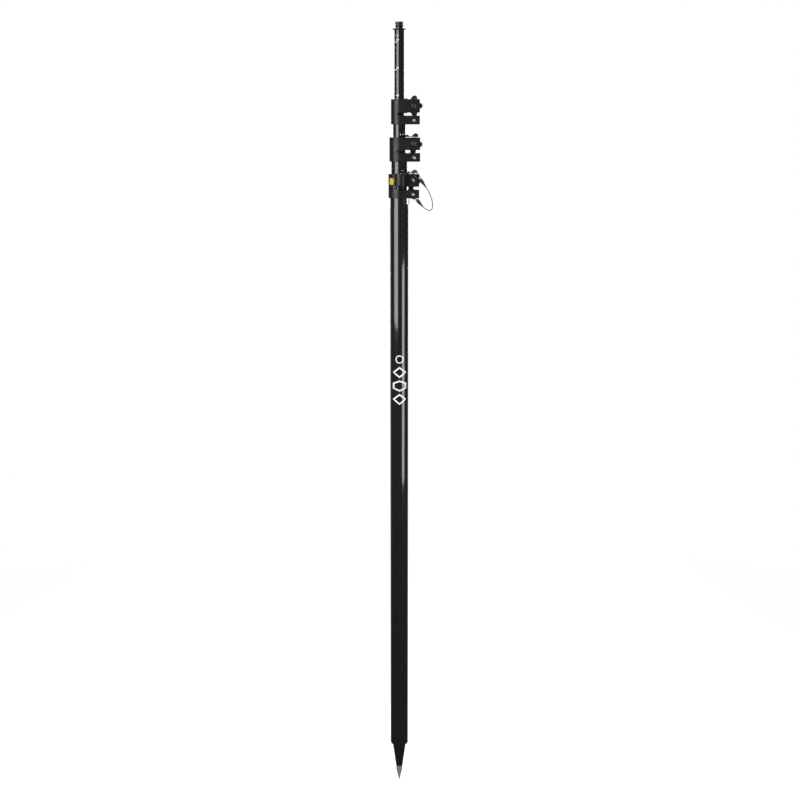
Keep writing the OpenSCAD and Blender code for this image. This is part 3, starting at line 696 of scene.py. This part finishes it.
def threaded(root, crest, pitch, z0, z1, segments, steps=10, chamfer=0.0):
    """Rings of a right-hand thread from z0 to z1 with 60-degree flanks, its ends run out to the root."""
    turn = np.arange(segments) * TAU / segments
    rings = []
    for z in np.arange(z0, z1 + 1e-6, pitch / steps):
        phase = (z / pitch - turn / TAU) % 1
        flank = np.clip((0.5 - np.abs(phase - 0.5) - 0.06) / 0.34, 0, 1)
        limit = crest - np.clip(chamfer - (z1 - z), 0, chamfer) - np.clip(chamfer - (z - z0), 0, chamfer)
        r = np.minimum(root + (crest - root) * flank, np.maximum(limit, root * 0.94))
        rings.append(circle(r, z, segments))
    return rings


def draw_bolt(k, s):
    """Bolt along +Y: its head in front, a plain shank, and thread at the knob's end."""
    x, z = s["bolt"]
    shank_r, root_r, pitch, thread_length, segments = 3.0, 2.45, 1.0, 14.0, 72
    if k == "lower":
        head_r, head_h, under = 3.7, 2.2, -s["r"]
        rim_h, sunk = 0.25, 0.28
        dome_head = lathe([(0, 0), (head_r, 0)] + dome(head_r, head_h, 12), 96)
        socket = hex_socket_head(2.3, rim_h, 1.5, 0.9, 0.1)
        parts = [placed(dome_head, (x, under, z), (0, -1, 0)),
                 placed(socket, (x, under - head_h + sunk, z), (0, -1, 0))]
    else:
        head_r, head_h, under = 4.9, 3.4, 4 - s["r"]
        shape = knurled(hex_socket_head(head_r, head_h, 2.9, 2.0, 0.45), head_r, head_h - 0.5)
        parts = [placed(shape, (x, under, z), (0, -1, 0))]
    length = box(k + "_draw_bolt")[1][1] - under
    plain = length - thread_length
    rings = [circle(shank_r, h, segments) for h in (0.0, plain)]
    rings += threaded(root_r, shank_r, pitch, plain + 0.4, length, segments, chamfer=0.5)
    parts.append(placed(ring_surface(rings), (x, under, z), (0, 1, 0)))
    finish = BOLT if k == "lower" else DARK_BOLT
    add_mesh(k + "_bolt", *joined(*parts), HOLDER[k], finish, "bolt_steel", [k + "_draw_bolt"])


def fixing_screw(k, s):
    """Socket screw along +Y in the fixed part of a clamp."""
    x, z = s["fixing"]
    head_r, head_h, seat = 3.1, 2.6, 3 - s["r"]
    length = box(k + "_clamp_fixing_screw")[1][1] - seat
    shape = knurled(hex_socket_head(head_r, head_h, 1.5, 1.5, 0.3), head_r, head_h - 0.4, 28, 0.1)
    head = placed(shape, (x, seat, z), (0, -1, 0))
    shank = placed(ring_surface(threaded(1.6, 2.0, 0.7, 0, length, 48, 8, 0.3)), (x, seat, z), (0, 1, 0))
    add_mesh(k + "_fixing_screw", *joined(head, shank), HOLDER[k], BOLT, "bolt_steel",
             [k + "_clamp_fixing_screw"])


def washer(k, s):
    lo, hi = box(k + "_thrust_washer")
    rim_r, thick = 7.5, hi[1] - lo[1]
    profile = [(BOLT_HOLE_R, 0), (rim_r, 0), (rim_r, thick), (BOLT_HOLE_R, thick)]
    shape = placed(lathe(profile, 96, 0.25), (s["bolt"][0], lo[1], s["bolt"][1]), (0, 1, 0))
    add_mesh(k + "_washer", *shape, k + "_washer", BOLT, "bolt_steel", [k + "_thrust_washer"])


def knob_solid(k, s):
    """Signed distance of a star knob: round neck, five filleted lobes and a grooved, capped face."""
    x0, z0 = s["bolt"]
    lo, hi = box(k + "_knob")
    back, neck, front = lo[1], lo[1] + 3.0, hi[1]
    hub, lobe, lobes, neck_r = 12.5, 5.2, 5, 8.5
    groove_r, groove_w, groove_depth = 9.0, 3.2, 0.9
    insert_r, cap = 5.02, 1.5
    turn = math.radians(KNOB_TURN[k])

    def sdf(x, y, z):
        u, v = x - x0, z - z0
        u, v = u * math.cos(turn) - v * math.sin(turn), u * math.sin(turn) + v * math.cos(turn)
        angle = np.arctan2(v, u)
        step = TAU / lobes
        angle = angle - step * np.round(angle / step)
        r = np.hypot(u, v)
        along, across = r * np.cos(angle), r * np.sin(angle)
        arm = np.hypot(along - np.clip(along, 0, KNOB_R - lobe), across) - lobe
        star = fuse(r - hub, arm, 3.4)
        head = meet(star, slab(y, neck, front), 2.4)
        solid = fuse(head, np.maximum(r - neck_r, slab(y, back, neck + 1)), 0.8)
        groove = np.maximum(np.abs(r - groove_r) - groove_w / 2, front - groove_depth - y)
        solid = cut(solid, groove, 0.5)
        hole = np.maximum(r - insert_r, y - (front - cap))
        return cut(solid, hole, 0.3)

    return sdf


def knobs():
    for k in CLAMPS:
        s = clamp_sizes(k)
        lo, hi = box(k + "_knob")
        x, z = s["bolt"]
        lo, hi = (x - KNOB_R, lo[1], z - KNOB_R), (x + KNOB_R, hi[1], z + KNOB_R)
        shape = sdf_shape(knob_solid(k, s), lo, hi, CELL)
        add_mesh(k + "_star_knob", *shape, k + "_knob", KNOB, "knob_plastic", [k + "_knob"])


# ------------------------------------------------------------------ level, plate, pin and lanyard

def level():
    """Glass, bezel, screws and the printed circle of the level. Cup and spirit keep their CAD shape."""
    x, y, _ = centre("level_cup")
    top = box("lower_clamp_body")[1][2]
    glass_lo, glass_hi = box("level_glass")
    dome_r, seat_r, under = 5.46, 7.56, glass_lo[2] - top
    profile = [(0, under), (seat_r, under), (seat_r, -FIT), (dome_r, 0.0)]
    profile += dome(dome_r, glass_hi[2] - top, 16)
    add_mesh("level_dome", *placed(lathe(profile), (x, y, top)), "base", LENS, "level_lens",
             ["level_glass"])

    lo, hi = box("level_bezel")
    ring_r, window_r, pitch_r, lug_r, hole_r, screw_r = 8.9, 5.5, 9.1, 2.1, 0.84, 0.8
    angles = [math.radians(a) for a in (30, 150, 270)]
    lugs = [(x + pitch_r * math.cos(a), y + pitch_r * math.sin(a)) for a in angles]

    def ring(px, py, pz):
        plan = rod(px, py, (x, y), ring_r)
        for place in lugs:
            plan = fuse(plan, rod(px, py, place, lug_r), 0.8)
        solid = meet(plan, slab(pz, lo[2], hi[2]), 0.3)
        solid = cut(solid, rod(px, py, (x, y), window_r), 0.3)
        for place in lugs:
            solid = cut(solid, rod(px, py, place, hole_r), 0.1)
        return solid

    add_mesh("level_ring", *sdf_shape(ring, lo, hi, 0.22), "base", BEZEL, "bezel_alloy", ["level_bezel"])
    shank = lathe([(0, -4.5), (screw_r, -4.2), (screw_r, 0.1), (0, 0.1)], 32)
    screws = []
    for px, py in lugs:
        head = placed(hex_socket_head(1.3, 0.6, 0.6, 0.4, 0.2), (px, py, hi[2] + FIT))
        screws += [head, placed(shank, (px, py, hi[2]))]
    add_mesh("level_ring_screws", *joined(*screws), "base", BOLT, "bolt_steel", ["level_screws"])
    inner_r, outer_r, thick, below = 2.35, 2.65, 0.08, 0.1
    mark = lathe([(inner_r, 0), (outer_r, 0), (outer_r, thick), (inner_r, thick)], 64)
    add_mesh("level_circle", *placed(mark, (x, y, glass_lo[2] - below)), "base", SLEEVE, "cup_plastic")


def plate():
    """Yellow plate with rounded corners bent round the lower clamp, and a dot beside it."""
    lo, hi = box("colour_plate")
    radius = box("lower_clamp_body")[1][1] + FIT
    thick, corner, start, end = 0.5, 1.3, -65.0, -38.5
    half = math.radians(end - start) / 2 * radius
    low = lo[2] - hi[2]
    border = []
    for cx, cy, first in ((half - corner, -corner, 0), (corner - half, -corner, 90),
                          (corner - half, low + corner, 180), (half - corner, low + corner, 270)):
        for a in np.radians(np.linspace(first, first + 90, 7)):
            border.append((cx + corner * math.cos(a), cy + corner * math.sin(a)))
    piece = wrap(drawn([border]), "clamp_plate", radius + thick / 2, (start + end) / 2, hi[2], "base",
                 YELLOW, thick / 2, 0.5)
    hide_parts("colour_plate")
    dot_r, dot_angle, dot_z = 1.0, -34.5, hi[2] - 5
    dot = circle(dot_r, 0, 24)[:, :2]
    wrap(drawn([dot]), "clamp_dot", radius, dot_angle, dot_z, "base", YELLOW, 0.1, 0.3)


def pin_finish(head_z):
    """Bright steel, darkened above head_z: painted shade that dims the head's reflection."""
    bright, dark, blend = (0.50, 0.49, 0.475), (0.05, 0.049, 0.048), 0.5 * MM
    n = Nodes("pin_steel", Metallic=1.0, Anisotropic=0.35)
    marks = n.noise(420.0, 4.0, (1, 1, 14))
    height = n.split(n.coordinates())["Z"]
    # Painted shade: the head above head_z is darkened so that it shows no bright reflection.
    n.set("Base Color", n.ramp(height, bright, dark, head_z - blend, head_z))
    n.set("Roughness", n.ramp(marks, 0.12, 0.26))
    return n.bump(marks, 0.008, 0.6).material


def lock_pin():
    """Steel pin with a grooved head, cross-drilled for its ring."""
    lo, hi = box("lock_pin")
    x, y = centre("lock_pin")[:2]
    head_h, shaft_r, head_r = 4.8, 2.7, 3.3
    groove_r, groove_z, groove_out = 0.5, 1.0, 0.25
    head_z = hi[2] - head_h
    ring = centre("pull_ring")
    hole_x, hole_r = ring[0] - RING_R + 0.58, 1.2

    def sdf(px, py, pz):
        r = np.hypot(px - x, py - y)
        shaft = meet(r - shaft_r, slab(pz, lo[2], head_z + 1), 0.9)
        head = meet(r - head_r, slab(pz, head_z, hi[2]), 0.7)
        solid = np.minimum(shaft, head)
        groove = np.hypot(r - head_r - groove_out, pz - head_z - groove_z) - groove_r
        solid = cut(solid, groove, 0.1)
        across = (pz - ring[2]) * math.cos(RING_TILT) - (py - y) * math.sin(RING_TILT)
        return cut(solid, rod(px, across, (hole_x, 0), hole_r), 0.25)

    add_mesh("locking_pin", *sdf_shape(sdf, lo, hi, 0.3), "lock_pin", pin_finish(head_z * MM), "pin_steel",
             ["lock_pin"])


def frames(points):
    """Unit tangent, side and up at each point of a path, without twist."""
    points = np.asarray(points, float)
    tangent = np.gradient(points, axis=0)
    tangent /= np.linalg.norm(tangent, axis=1)[:, None]
    side = np.cross(tangent[0], (0.3, 0.2, 1.0))
    side /= np.linalg.norm(side)
    sides = [side]
    for t in tangent[1:]:
        side = sides[-1] - t * (sides[-1] @ t)
        sides.append(side / np.linalg.norm(side))
    sides = np.array(sides)
    return tangent, sides, np.cross(tangent, sides)


def smooth_path(points, step=0.3):
    """Evenly spaced points along a rounded path through the given ones."""
    points = np.asarray(points, float)
    padded = np.vstack([2 * points[0] - points[1], points, 2 * points[-1] - points[-2]])
    out = []
    for a, b, c, d in zip(padded, padded[1:], padded[2:], padded[3:]):
        count = max(2, int(np.linalg.norm(c - b) / step))
        for t in np.arange(count) / count:
            out.append(0.5 * (2 * b + (c - a) * t + (2 * a - 5 * b + 4 * c - d) * t * t
                              + (3 * b - a - 3 * c + d) * t ** 3))
    out.append(points[-1])
    return np.array(out)


def sweep(points, radius, lay=0.0, width=36):
    """Round wire along a path or, with a lay length, rope of strands that wind round it."""
    points = np.asarray(points, float)
    _, side, up = frames(points)
    run = np.concatenate([[0], np.cumsum(np.linalg.norm(np.diff(points, axis=0), axis=1))])
    turn = np.arange(width) * TAU / width
    rings = []
    for p, s, u, length in zip(points, side, up, run):
        r = np.full(width, radius)
        if lay:
            strands, strand_r, reach = 6, radius / 3, 2 * radius / 3
            a = turn - TAU * length / lay
            a = a - TAU / strands * np.round(a * strands / TAU)
            r = reach * np.cos(a) + np.sqrt(np.maximum(strand_r ** 2 - (reach * np.sin(a)) ** 2, 0))
        rings.append(p + r[:, None] * (np.cos(turn)[:, None] * s + np.sin(turn)[:, None] * u))
    return ring_surface(rings)


def rope_along(points):
    """The lanyard's rope along a path."""
    return sweep(points, ROPE_R, ROPE_LAY)


def pull_ring():
    """Split ring: two turns of wire lying on each other."""
    wire_r, turns, first, gap = 0.32, 2.0, 0.35, 0.08
    turn = np.linspace(first, first + turns * TAU - gap, 260)
    offset = wire_r * 0.92
    rise = np.interp(turn, [turn[0], turn[0] + TAU - 0.5, turn[0] + TAU + 0.4, turn[-1]],
                     [-offset, -offset, offset, offset])
    points = np.stack([RING_R * np.cos(turn), RING_R * np.sin(turn), rise], -1)
    lean = np.array(Matrix.Rotation(RING_TILT, 3, "X"))
    add_mesh("split_ring", *sweep(points @ lean.T + centre("pull_ring"), wire_r, width=24), "lock_pin",
             RING, "pin_steel", ["pull_ring"])


def crimp_shape(length):
    """Black sleeve: a rounded barrel with two pressed bands and a tail that narrows to the wire."""
    barrel, r, tail, end = 0.46 * length, 3.2, 2.2, 1.2
    edge, band, pressed = 0.8, 0.7, 0.28
    profile = [(0, 0), (r - edge, 0), (r, edge)]
    for share in (0.32, 0.68):
        z = barrel * share
        profile += [(r, z - band), (r - pressed, z - band / 2), (r - pressed, z + band / 2), (r, z + band)]
    profile += [(r, barrel - 0.3), (tail, barrel + 1.6), (end, length - 0.6), (end - 0.2, length),
                (0, length)]
    return lathe(profile, 64, 0.5)


def lanyard():
    """Steel rope from the pull ring, through two sleeves, to an eye under the clamp."""
    under, top = (corner[2] for corner in box("lower_clamp_body"))
    gap, into = 0.95, 0.16

    def hung(x, y, drop):
        return np.array([x, y, top - drop])

    upper_top, upper_end = hung(37.4, -23.8, 9.5), hung(48.2, -23.8, 24.8)
    lower_top, lower_end = hung(31.5, -15.6, 48.2), hung(43.2, -17.6, 61.3)
    for name, a, b, body in (("upper", upper_top, upper_end, "lock_pin"),
                             ("lower", lower_top, lower_end, "base")):
        length = np.linalg.norm(b - a)
        add_mesh(name + "_sleeve", *placed(crimp_shape(length), a, (b - a) / length), body, SLEEVE,
                 "sleeve_plastic", [f"lanyard_{name}_crimp"])

    away = np.array([0.82, 0.0, 0.57]) * gap
    inside = upper_top + into * (upper_end - upper_top)
    loop = [inside - 0.6 * away, upper_top - away,
            hung(31.2, -24.2, 7.4), hung(26.8, -23.4, 3.0), hung(25.3, -21.3, -0.9),
            hung(25.5, -18.4, -0.95), hung(24.9, -15.8, -0.97), hung(23.4, -14.3, -1.7),
            hung(22.9, -14.1, -3.3), hung(24.6, -14.8, -4.5), hung(27.4, -17.6, -4.4),
            hung(31.2, -21.8, -3.0), hung(35.2, -24.1, 2.2),
            upper_top + away, inside + 0.6 * away]
    add_mesh("ring_loop", *rope_along(smooth_path(loop)), "lock_pin", WIRE, "wire",
             ["lanyard_upper_loop"])

    pull_1, pull_2 = hung(67.0, -23.8, 48.9), hung(66.3, -19.0, 85.3)
    t = np.linspace(0, 1, 420)[:, None]
    start = upper_end + 0.1 * (upper_top - upper_end)
    finish = lower_end + 0.12 * (lower_top - lower_end)
    bow = ((1 - t) ** 3 * start + 3 * t * (1 - t) ** 2 * pull_1 + 3 * t * t * (1 - t) * pull_2
           + t ** 3 * finish)
    rope = add_mesh("lanyard_rope", *rope_along(bow), None, WIRE, "wire", ["lanyard_cable"])
    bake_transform(rope)

    eye = centre("lanyard_anchor_screw")[:2]
    eye_r, eye_z = 2.8, under - ROPE_R - 0.15
    round_screw = [np.array([eye[0] + eye_r * math.cos(a), eye[1] + eye_r * math.sin(a), eye_z])
                   for a in np.radians(np.linspace(48, 312, 12))]
    inside = lower_top + into * (lower_end - lower_top)
    apart = np.array([0.0, gap, 0.0])
    tail = lower_top + (-0.6, 0, 0.5)
    loop = [inside + 0.6 * apart, tail + apart, *round_screw, tail - apart, inside - 0.6 * apart]
    add_mesh("anchor_loop", *rope_along(smooth_path(loop)), "base", WIRE, "wire", ["lanyard_lower_loop"])


def anchor_screw():
    """Screw under the lower clamp that holds the lanyard's eye."""
    lo, hi = box("lanyard_anchor_screw")
    head_r, head_h, shank_r = 2.3, 1.8, 1.5
    length = hi[2] - lo[2] - head_h
    seat = (*centre("lanyard_anchor_screw")[:2], lo[2] + head_h)
    head = placed(hex_socket_head(head_r, head_h, 1.2, 1.0, 0.5), seat, (0, 0, -1))
    shank = placed(lathe([(0, 0), (shank_r, 0), (shank_r, length), (0, length)], 48, 0.2), seat)
    add_mesh("anchor_screw", *joined(head, shank), "base", BOLT, "bolt_steel", ["lanyard_anchor_screw"])


# ------------------------------------------------------------------ foot and top

def foot():
    """Socket ring in the base tube's end, the black cone and the steel point."""
    lo, hi = box("foot_socket")
    ring_top = box("base_tube")[0][2]
    spigot_r, plug_r = 8.0, hi[0] - BASE_WALL - FIT
    profile = [(spigot_r + FIT, lo[2]), (hi[0] - 0.8, lo[2]), (hi[0], lo[2] + 1), (hi[0], ring_top),
               (plug_r, ring_top), (plug_r, hi[2]), (spigot_r + FIT, hi[2])]
    add_mesh("foot_end_ring", *lathe(profile, 160, 0.25), "base", BLACK, "black_alloy", ["foot_socket"])

    lo, hi = box("foot_cone")
    shank_r, cone_r, shank_top = 4.02, 6.4, lo[2] + 26.0
    cone_top = box("foot_socket")[0][2]
    profile = [(0, shank_top), (shank_r, shank_top), (shank_r, lo[2]), (cone_r, lo[2]), (hi[0], cone_top),
               (spigot_r, cone_top), (spigot_r, hi[2]), (0, hi[2])]
    add_mesh("foot_taper", *lathe(profile, 160, 0.35), "base", CONE_BLACK, "black_alloy", ["foot_cone"])

    lo, hi = box("foot_point")
    round_r, cone_h, joint, blunt = 6.5, 25.0, box("foot_cone")[0][2], 0.4
    across_flats, tang_r = 11.6, 4.0
    slope = math.atan((round_r - blunt) / cone_h)

    def sdf(x, y, z):
        r = np.hypot(x, y)
        cone = (r - blunt - z * math.tan(slope)) * math.cos(slope)
        tip = meet(meet(cone, r - round_r, 0.6), slab(z, 0, joint), 0.25)
        flats = np.maximum(across_flats / 2 - np.abs(x), slab(z, cone_h + 1, joint - 1))
        tip = cut(tip, flats, 0.2)
        return np.minimum(tip, meet(r - tang_r, slab(z, joint - 1, hi[2]), 0.4))

    add_mesh("hardened_point", *sdf_shape(sdf, lo, hi, 0.3), "base", POINT, "point_steel", ["foot_point"])


def top_fitting():
    """Flanged adapter and the 5/8 inch stud with its thread."""
    lo, hi = box("top_adapter")
    shoulder, flange_t, hole_r, hole_depth = hi[2], 2.5, 5.02, 22.0
    relief, relief_r = 0.6, box("top_stud")[1][0] + 0.2
    spigot_r, under = box("top_tube")[1][0] - WALL - FIT, shoulder - flange_t
    profile = [(0, lo[2]), (spigot_r, lo[2]), (spigot_r, under), (hi[0] - 1, under), (hi[0], under + 1),
               (hi[0], shoulder), (relief_r, shoulder), (relief_r, shoulder - relief),
               (hole_r, shoulder - relief), (hole_r, shoulder - hole_depth), (0, shoulder - hole_depth)]
    add_mesh("top_flange", *lathe(profile, 160, 0.3), "top_section", BLACK, "black_alloy", ["top_adapter"])

    lo, hi = box("top_stud")
    crest, pitch, segments = hi[0], 25.4 / 11, 96
    root = crest - 0.61 * pitch
    tang_r, collar_r, collar_top = 5.0, 6.3, shoulder + 1.8
    start = [(tang_r - 0.4, lo[2]), (tang_r, lo[2] + 0.4), (tang_r, shoulder - relief),
             (collar_r, shoulder - relief + 0.03), (collar_r, collar_top)]
    end = [(root * 0.9, hi[2]), (1.7, hi[2]), (1.4, hi[2] - 0.2), (0.15, hi[2] - 1.5)]
    rings = [circle(r, z, segments) for r, z in start]
    rings += threaded(root, crest, pitch, collar_top + 0.1, hi[2] - 0.05, segments, 14, 1.1)
    rings += [circle(r, z, segments) for r, z in end]
    add_mesh("threaded_stud", *ring_surface(rings), "top_section", STUD, "stud_steel", ["top_stud"])


def inner_parts():
    """CAD nodes that keep their shape get their finish."""
    finishes = {LINER: [k + "_clamp_liner" for k in CLAMPS], BRASS: [k + "_knob_insert" for k in CLAMPS],
                BUSH: ["lower_guide_bush", "middle_guide_bush", "top_guide_bush"],
                PLUG: ["lower_stop_plug", "middle_stop_plug", "top_stop_plug"],
                CUP: ["level_cup"], FLUID: ["level_fluid"]}
    for material, nodes in finishes.items():
        for node in nodes:
            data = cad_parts[node].data
            data.materials.clear()
            data.materials.append(material)


# ------------------------------------------------------------------ stage

def floor_and_world():
    """Pale floor that fades into a pale surround. Mirror reflections see a darker studio."""
    pale, soft, dark = 1.0, 0.32, 0.06
    world = bpy.data.worlds.new("studio")
    bpy.context.scene.world = world
    world.use_nodes = True
    n = Tree(world.node_tree)
    path = n.node("ShaderNodeLightPath").outputs
    lit = n.mix(path["Is Glossy Ray"], (soft,) * 3, (dark, dark, dark * 1.02))
    n.feed(n.tree.nodes["Background"].inputs["Color"], n.mix(path["Is Camera Ray"], lit, (pale,) * 3))

    count, reach = 96, 60000.0
    verts = np.vstack([np.zeros((1, 3)), circle(reach, 0, count)])
    mesh = bpy.data.meshes.new("floor")
    mesh.from_pydata((verts * MM).tolist(), [], [[0, 1 + j, 1 + (j + 1) % count] for j in range(count)])
    linked("floor", mesh)

    paper, paper_seen, fade_start, fade_end = 0.86, 0.03, 0.3, 1.8
    n = Nodes("floor_paper", Roughness=0.9, Specular_IOR_Level=0.1)
    mirrored = n.node("ShaderNodeLightPath").outputs["Is Glossy Ray"]
    # Painted reflection: mirror reflections see the paper dark.
    n.set("Base Color", n.mix(mirrored, (paper,) * 3, (paper_seen,) * 3))
    position = n.node("ShaderNodeNewGeometry").outputs["Position"]
    place = n.split(position)
    turn = n.math("ARCTAN2", n.math("ABSOLUTE", place["X"]), n.math("MULTIPLY", place["Y"], -1.0))
    # The far floor glows: evenly pale when seen directly; in mirror reflections it is dim and brighter
    # towards the back sides, a painted reflection that lights the edges of the tubes.
    side = n.ramp(turn, dark, 4 * dark, math.radians(100), math.radians(140))
    glow = n.node("ShaderNodeEmission")
    n.feed(glow.inputs["Color"], n.mix(mirrored, (pale,) * 3, side))
    length = n.node("ShaderNodeVectorMath", operation="LENGTH")
    n.feed(length.inputs[0], position)
    fade = n.ramp(length.outputs["Value"], 0.0, 1.0, fade_start, fade_end)
    blend = n.node("ShaderNodeMixShader")
    for socket, value in zip(blend.inputs, (fade, n.shader.outputs[0], glow.outputs[0])):
        n.feed(socket, value)
    n.feed(n.tree.nodes["Material Output"].inputs["Surface"], blend.outputs[0])
    mesh.materials.append(n.material)


def softbox(name, azimuth, distance, low, high, width, radiance, aim_z=None):
    """Upright soft light at an azimuth round the pole, in metres. Azimuth 0 is in front."""
    a = math.radians(azimuth)
    z = (low + high) / 2
    place = Vector((distance * math.sin(a), -distance * math.cos(a), z))
    light = bpy.data.lights.new(name, "AREA")
    light.shape, light.size, light.size_y = "RECTANGLE", width, high - low
    light.energy = radiance * math.pi * width * (high - low)
    light.color = (1.0, 0.965, 0.945)
    obj = linked(name, light)
    obj.location = place
    aim = Vector((0, 0, z if aim_z is None else aim_z))
    obj.rotation_mode = "QUATERNION"
    obj.rotation_quaternion = (aim - place).to_track_quat("-Z", "Y")
    obj.visible_camera = False


def lights():
    """Two softboxes in front, which show as strips on the tubes, three behind and one above."""
    softbox("left_softbox", -46.0, 1.6, low=0.82, high=2.3, width=1.4, radiance=7.5)
    softbox("right_softbox", 47.0, 1.6, low=0.21, high=1.05, width=0.95, radiance=7.5)
    softbox("back_left", -150.0, 2.2, low=1.9, high=3.1, width=0.9, radiance=4.0, aim_z=1.2)
    softbox("back_right", 140.0, 2.2, low=1.9, high=3.1, width=0.9, radiance=4.0, aim_z=1.2)
    softbox("behind", 175.0, 2.2, low=0.5, high=2.4, width=0.7, radiance=7.0)
    top = bpy.data.lights.new("top_softbox", "AREA")
    top.shape, top.size, top.energy = "SQUARE", 2.0, 30.0
    obj = linked("top_softbox", top)
    obj.location = (0, -0.4, 3.2)
    obj.visible_camera = False


def camera():
    """Level with the upper clamps, looking down the pole from slightly left of the front."""
    azimuth, distance, height, pitch, yaw = -5.5, 2.7786, 1.3727, 11.7, 0.03
    data = bpy.data.cameras.new("camera")
    data.lens, data.sensor_width = 65.52, 36.0
    obj = linked("camera", data)
    a = math.radians(azimuth)
    obj.location = (distance * math.sin(a), -distance * math.cos(a), height)
    obj.rotation_euler = (math.radians(90 - pitch), 0, a - math.radians(yaw))
    bpy.context.scene.camera = obj
    bpy.context.scene.view_settings.view_transform = "Standard"


tubes()
base_mark()
top_scale()
section_numerals()
clamps()
for side in CLAMPS:
    draw_bolt(side, clamp_sizes(side))
    fixing_screw(side, clamp_sizes(side))
    washer(side, clamp_sizes(side))
knobs()
level()
plate()
lock_pin()
pull_ring()
lanyard()
anchor_screw()
foot()
top_fitting()
inner_parts()
floor_and_world()
lights()
camera()
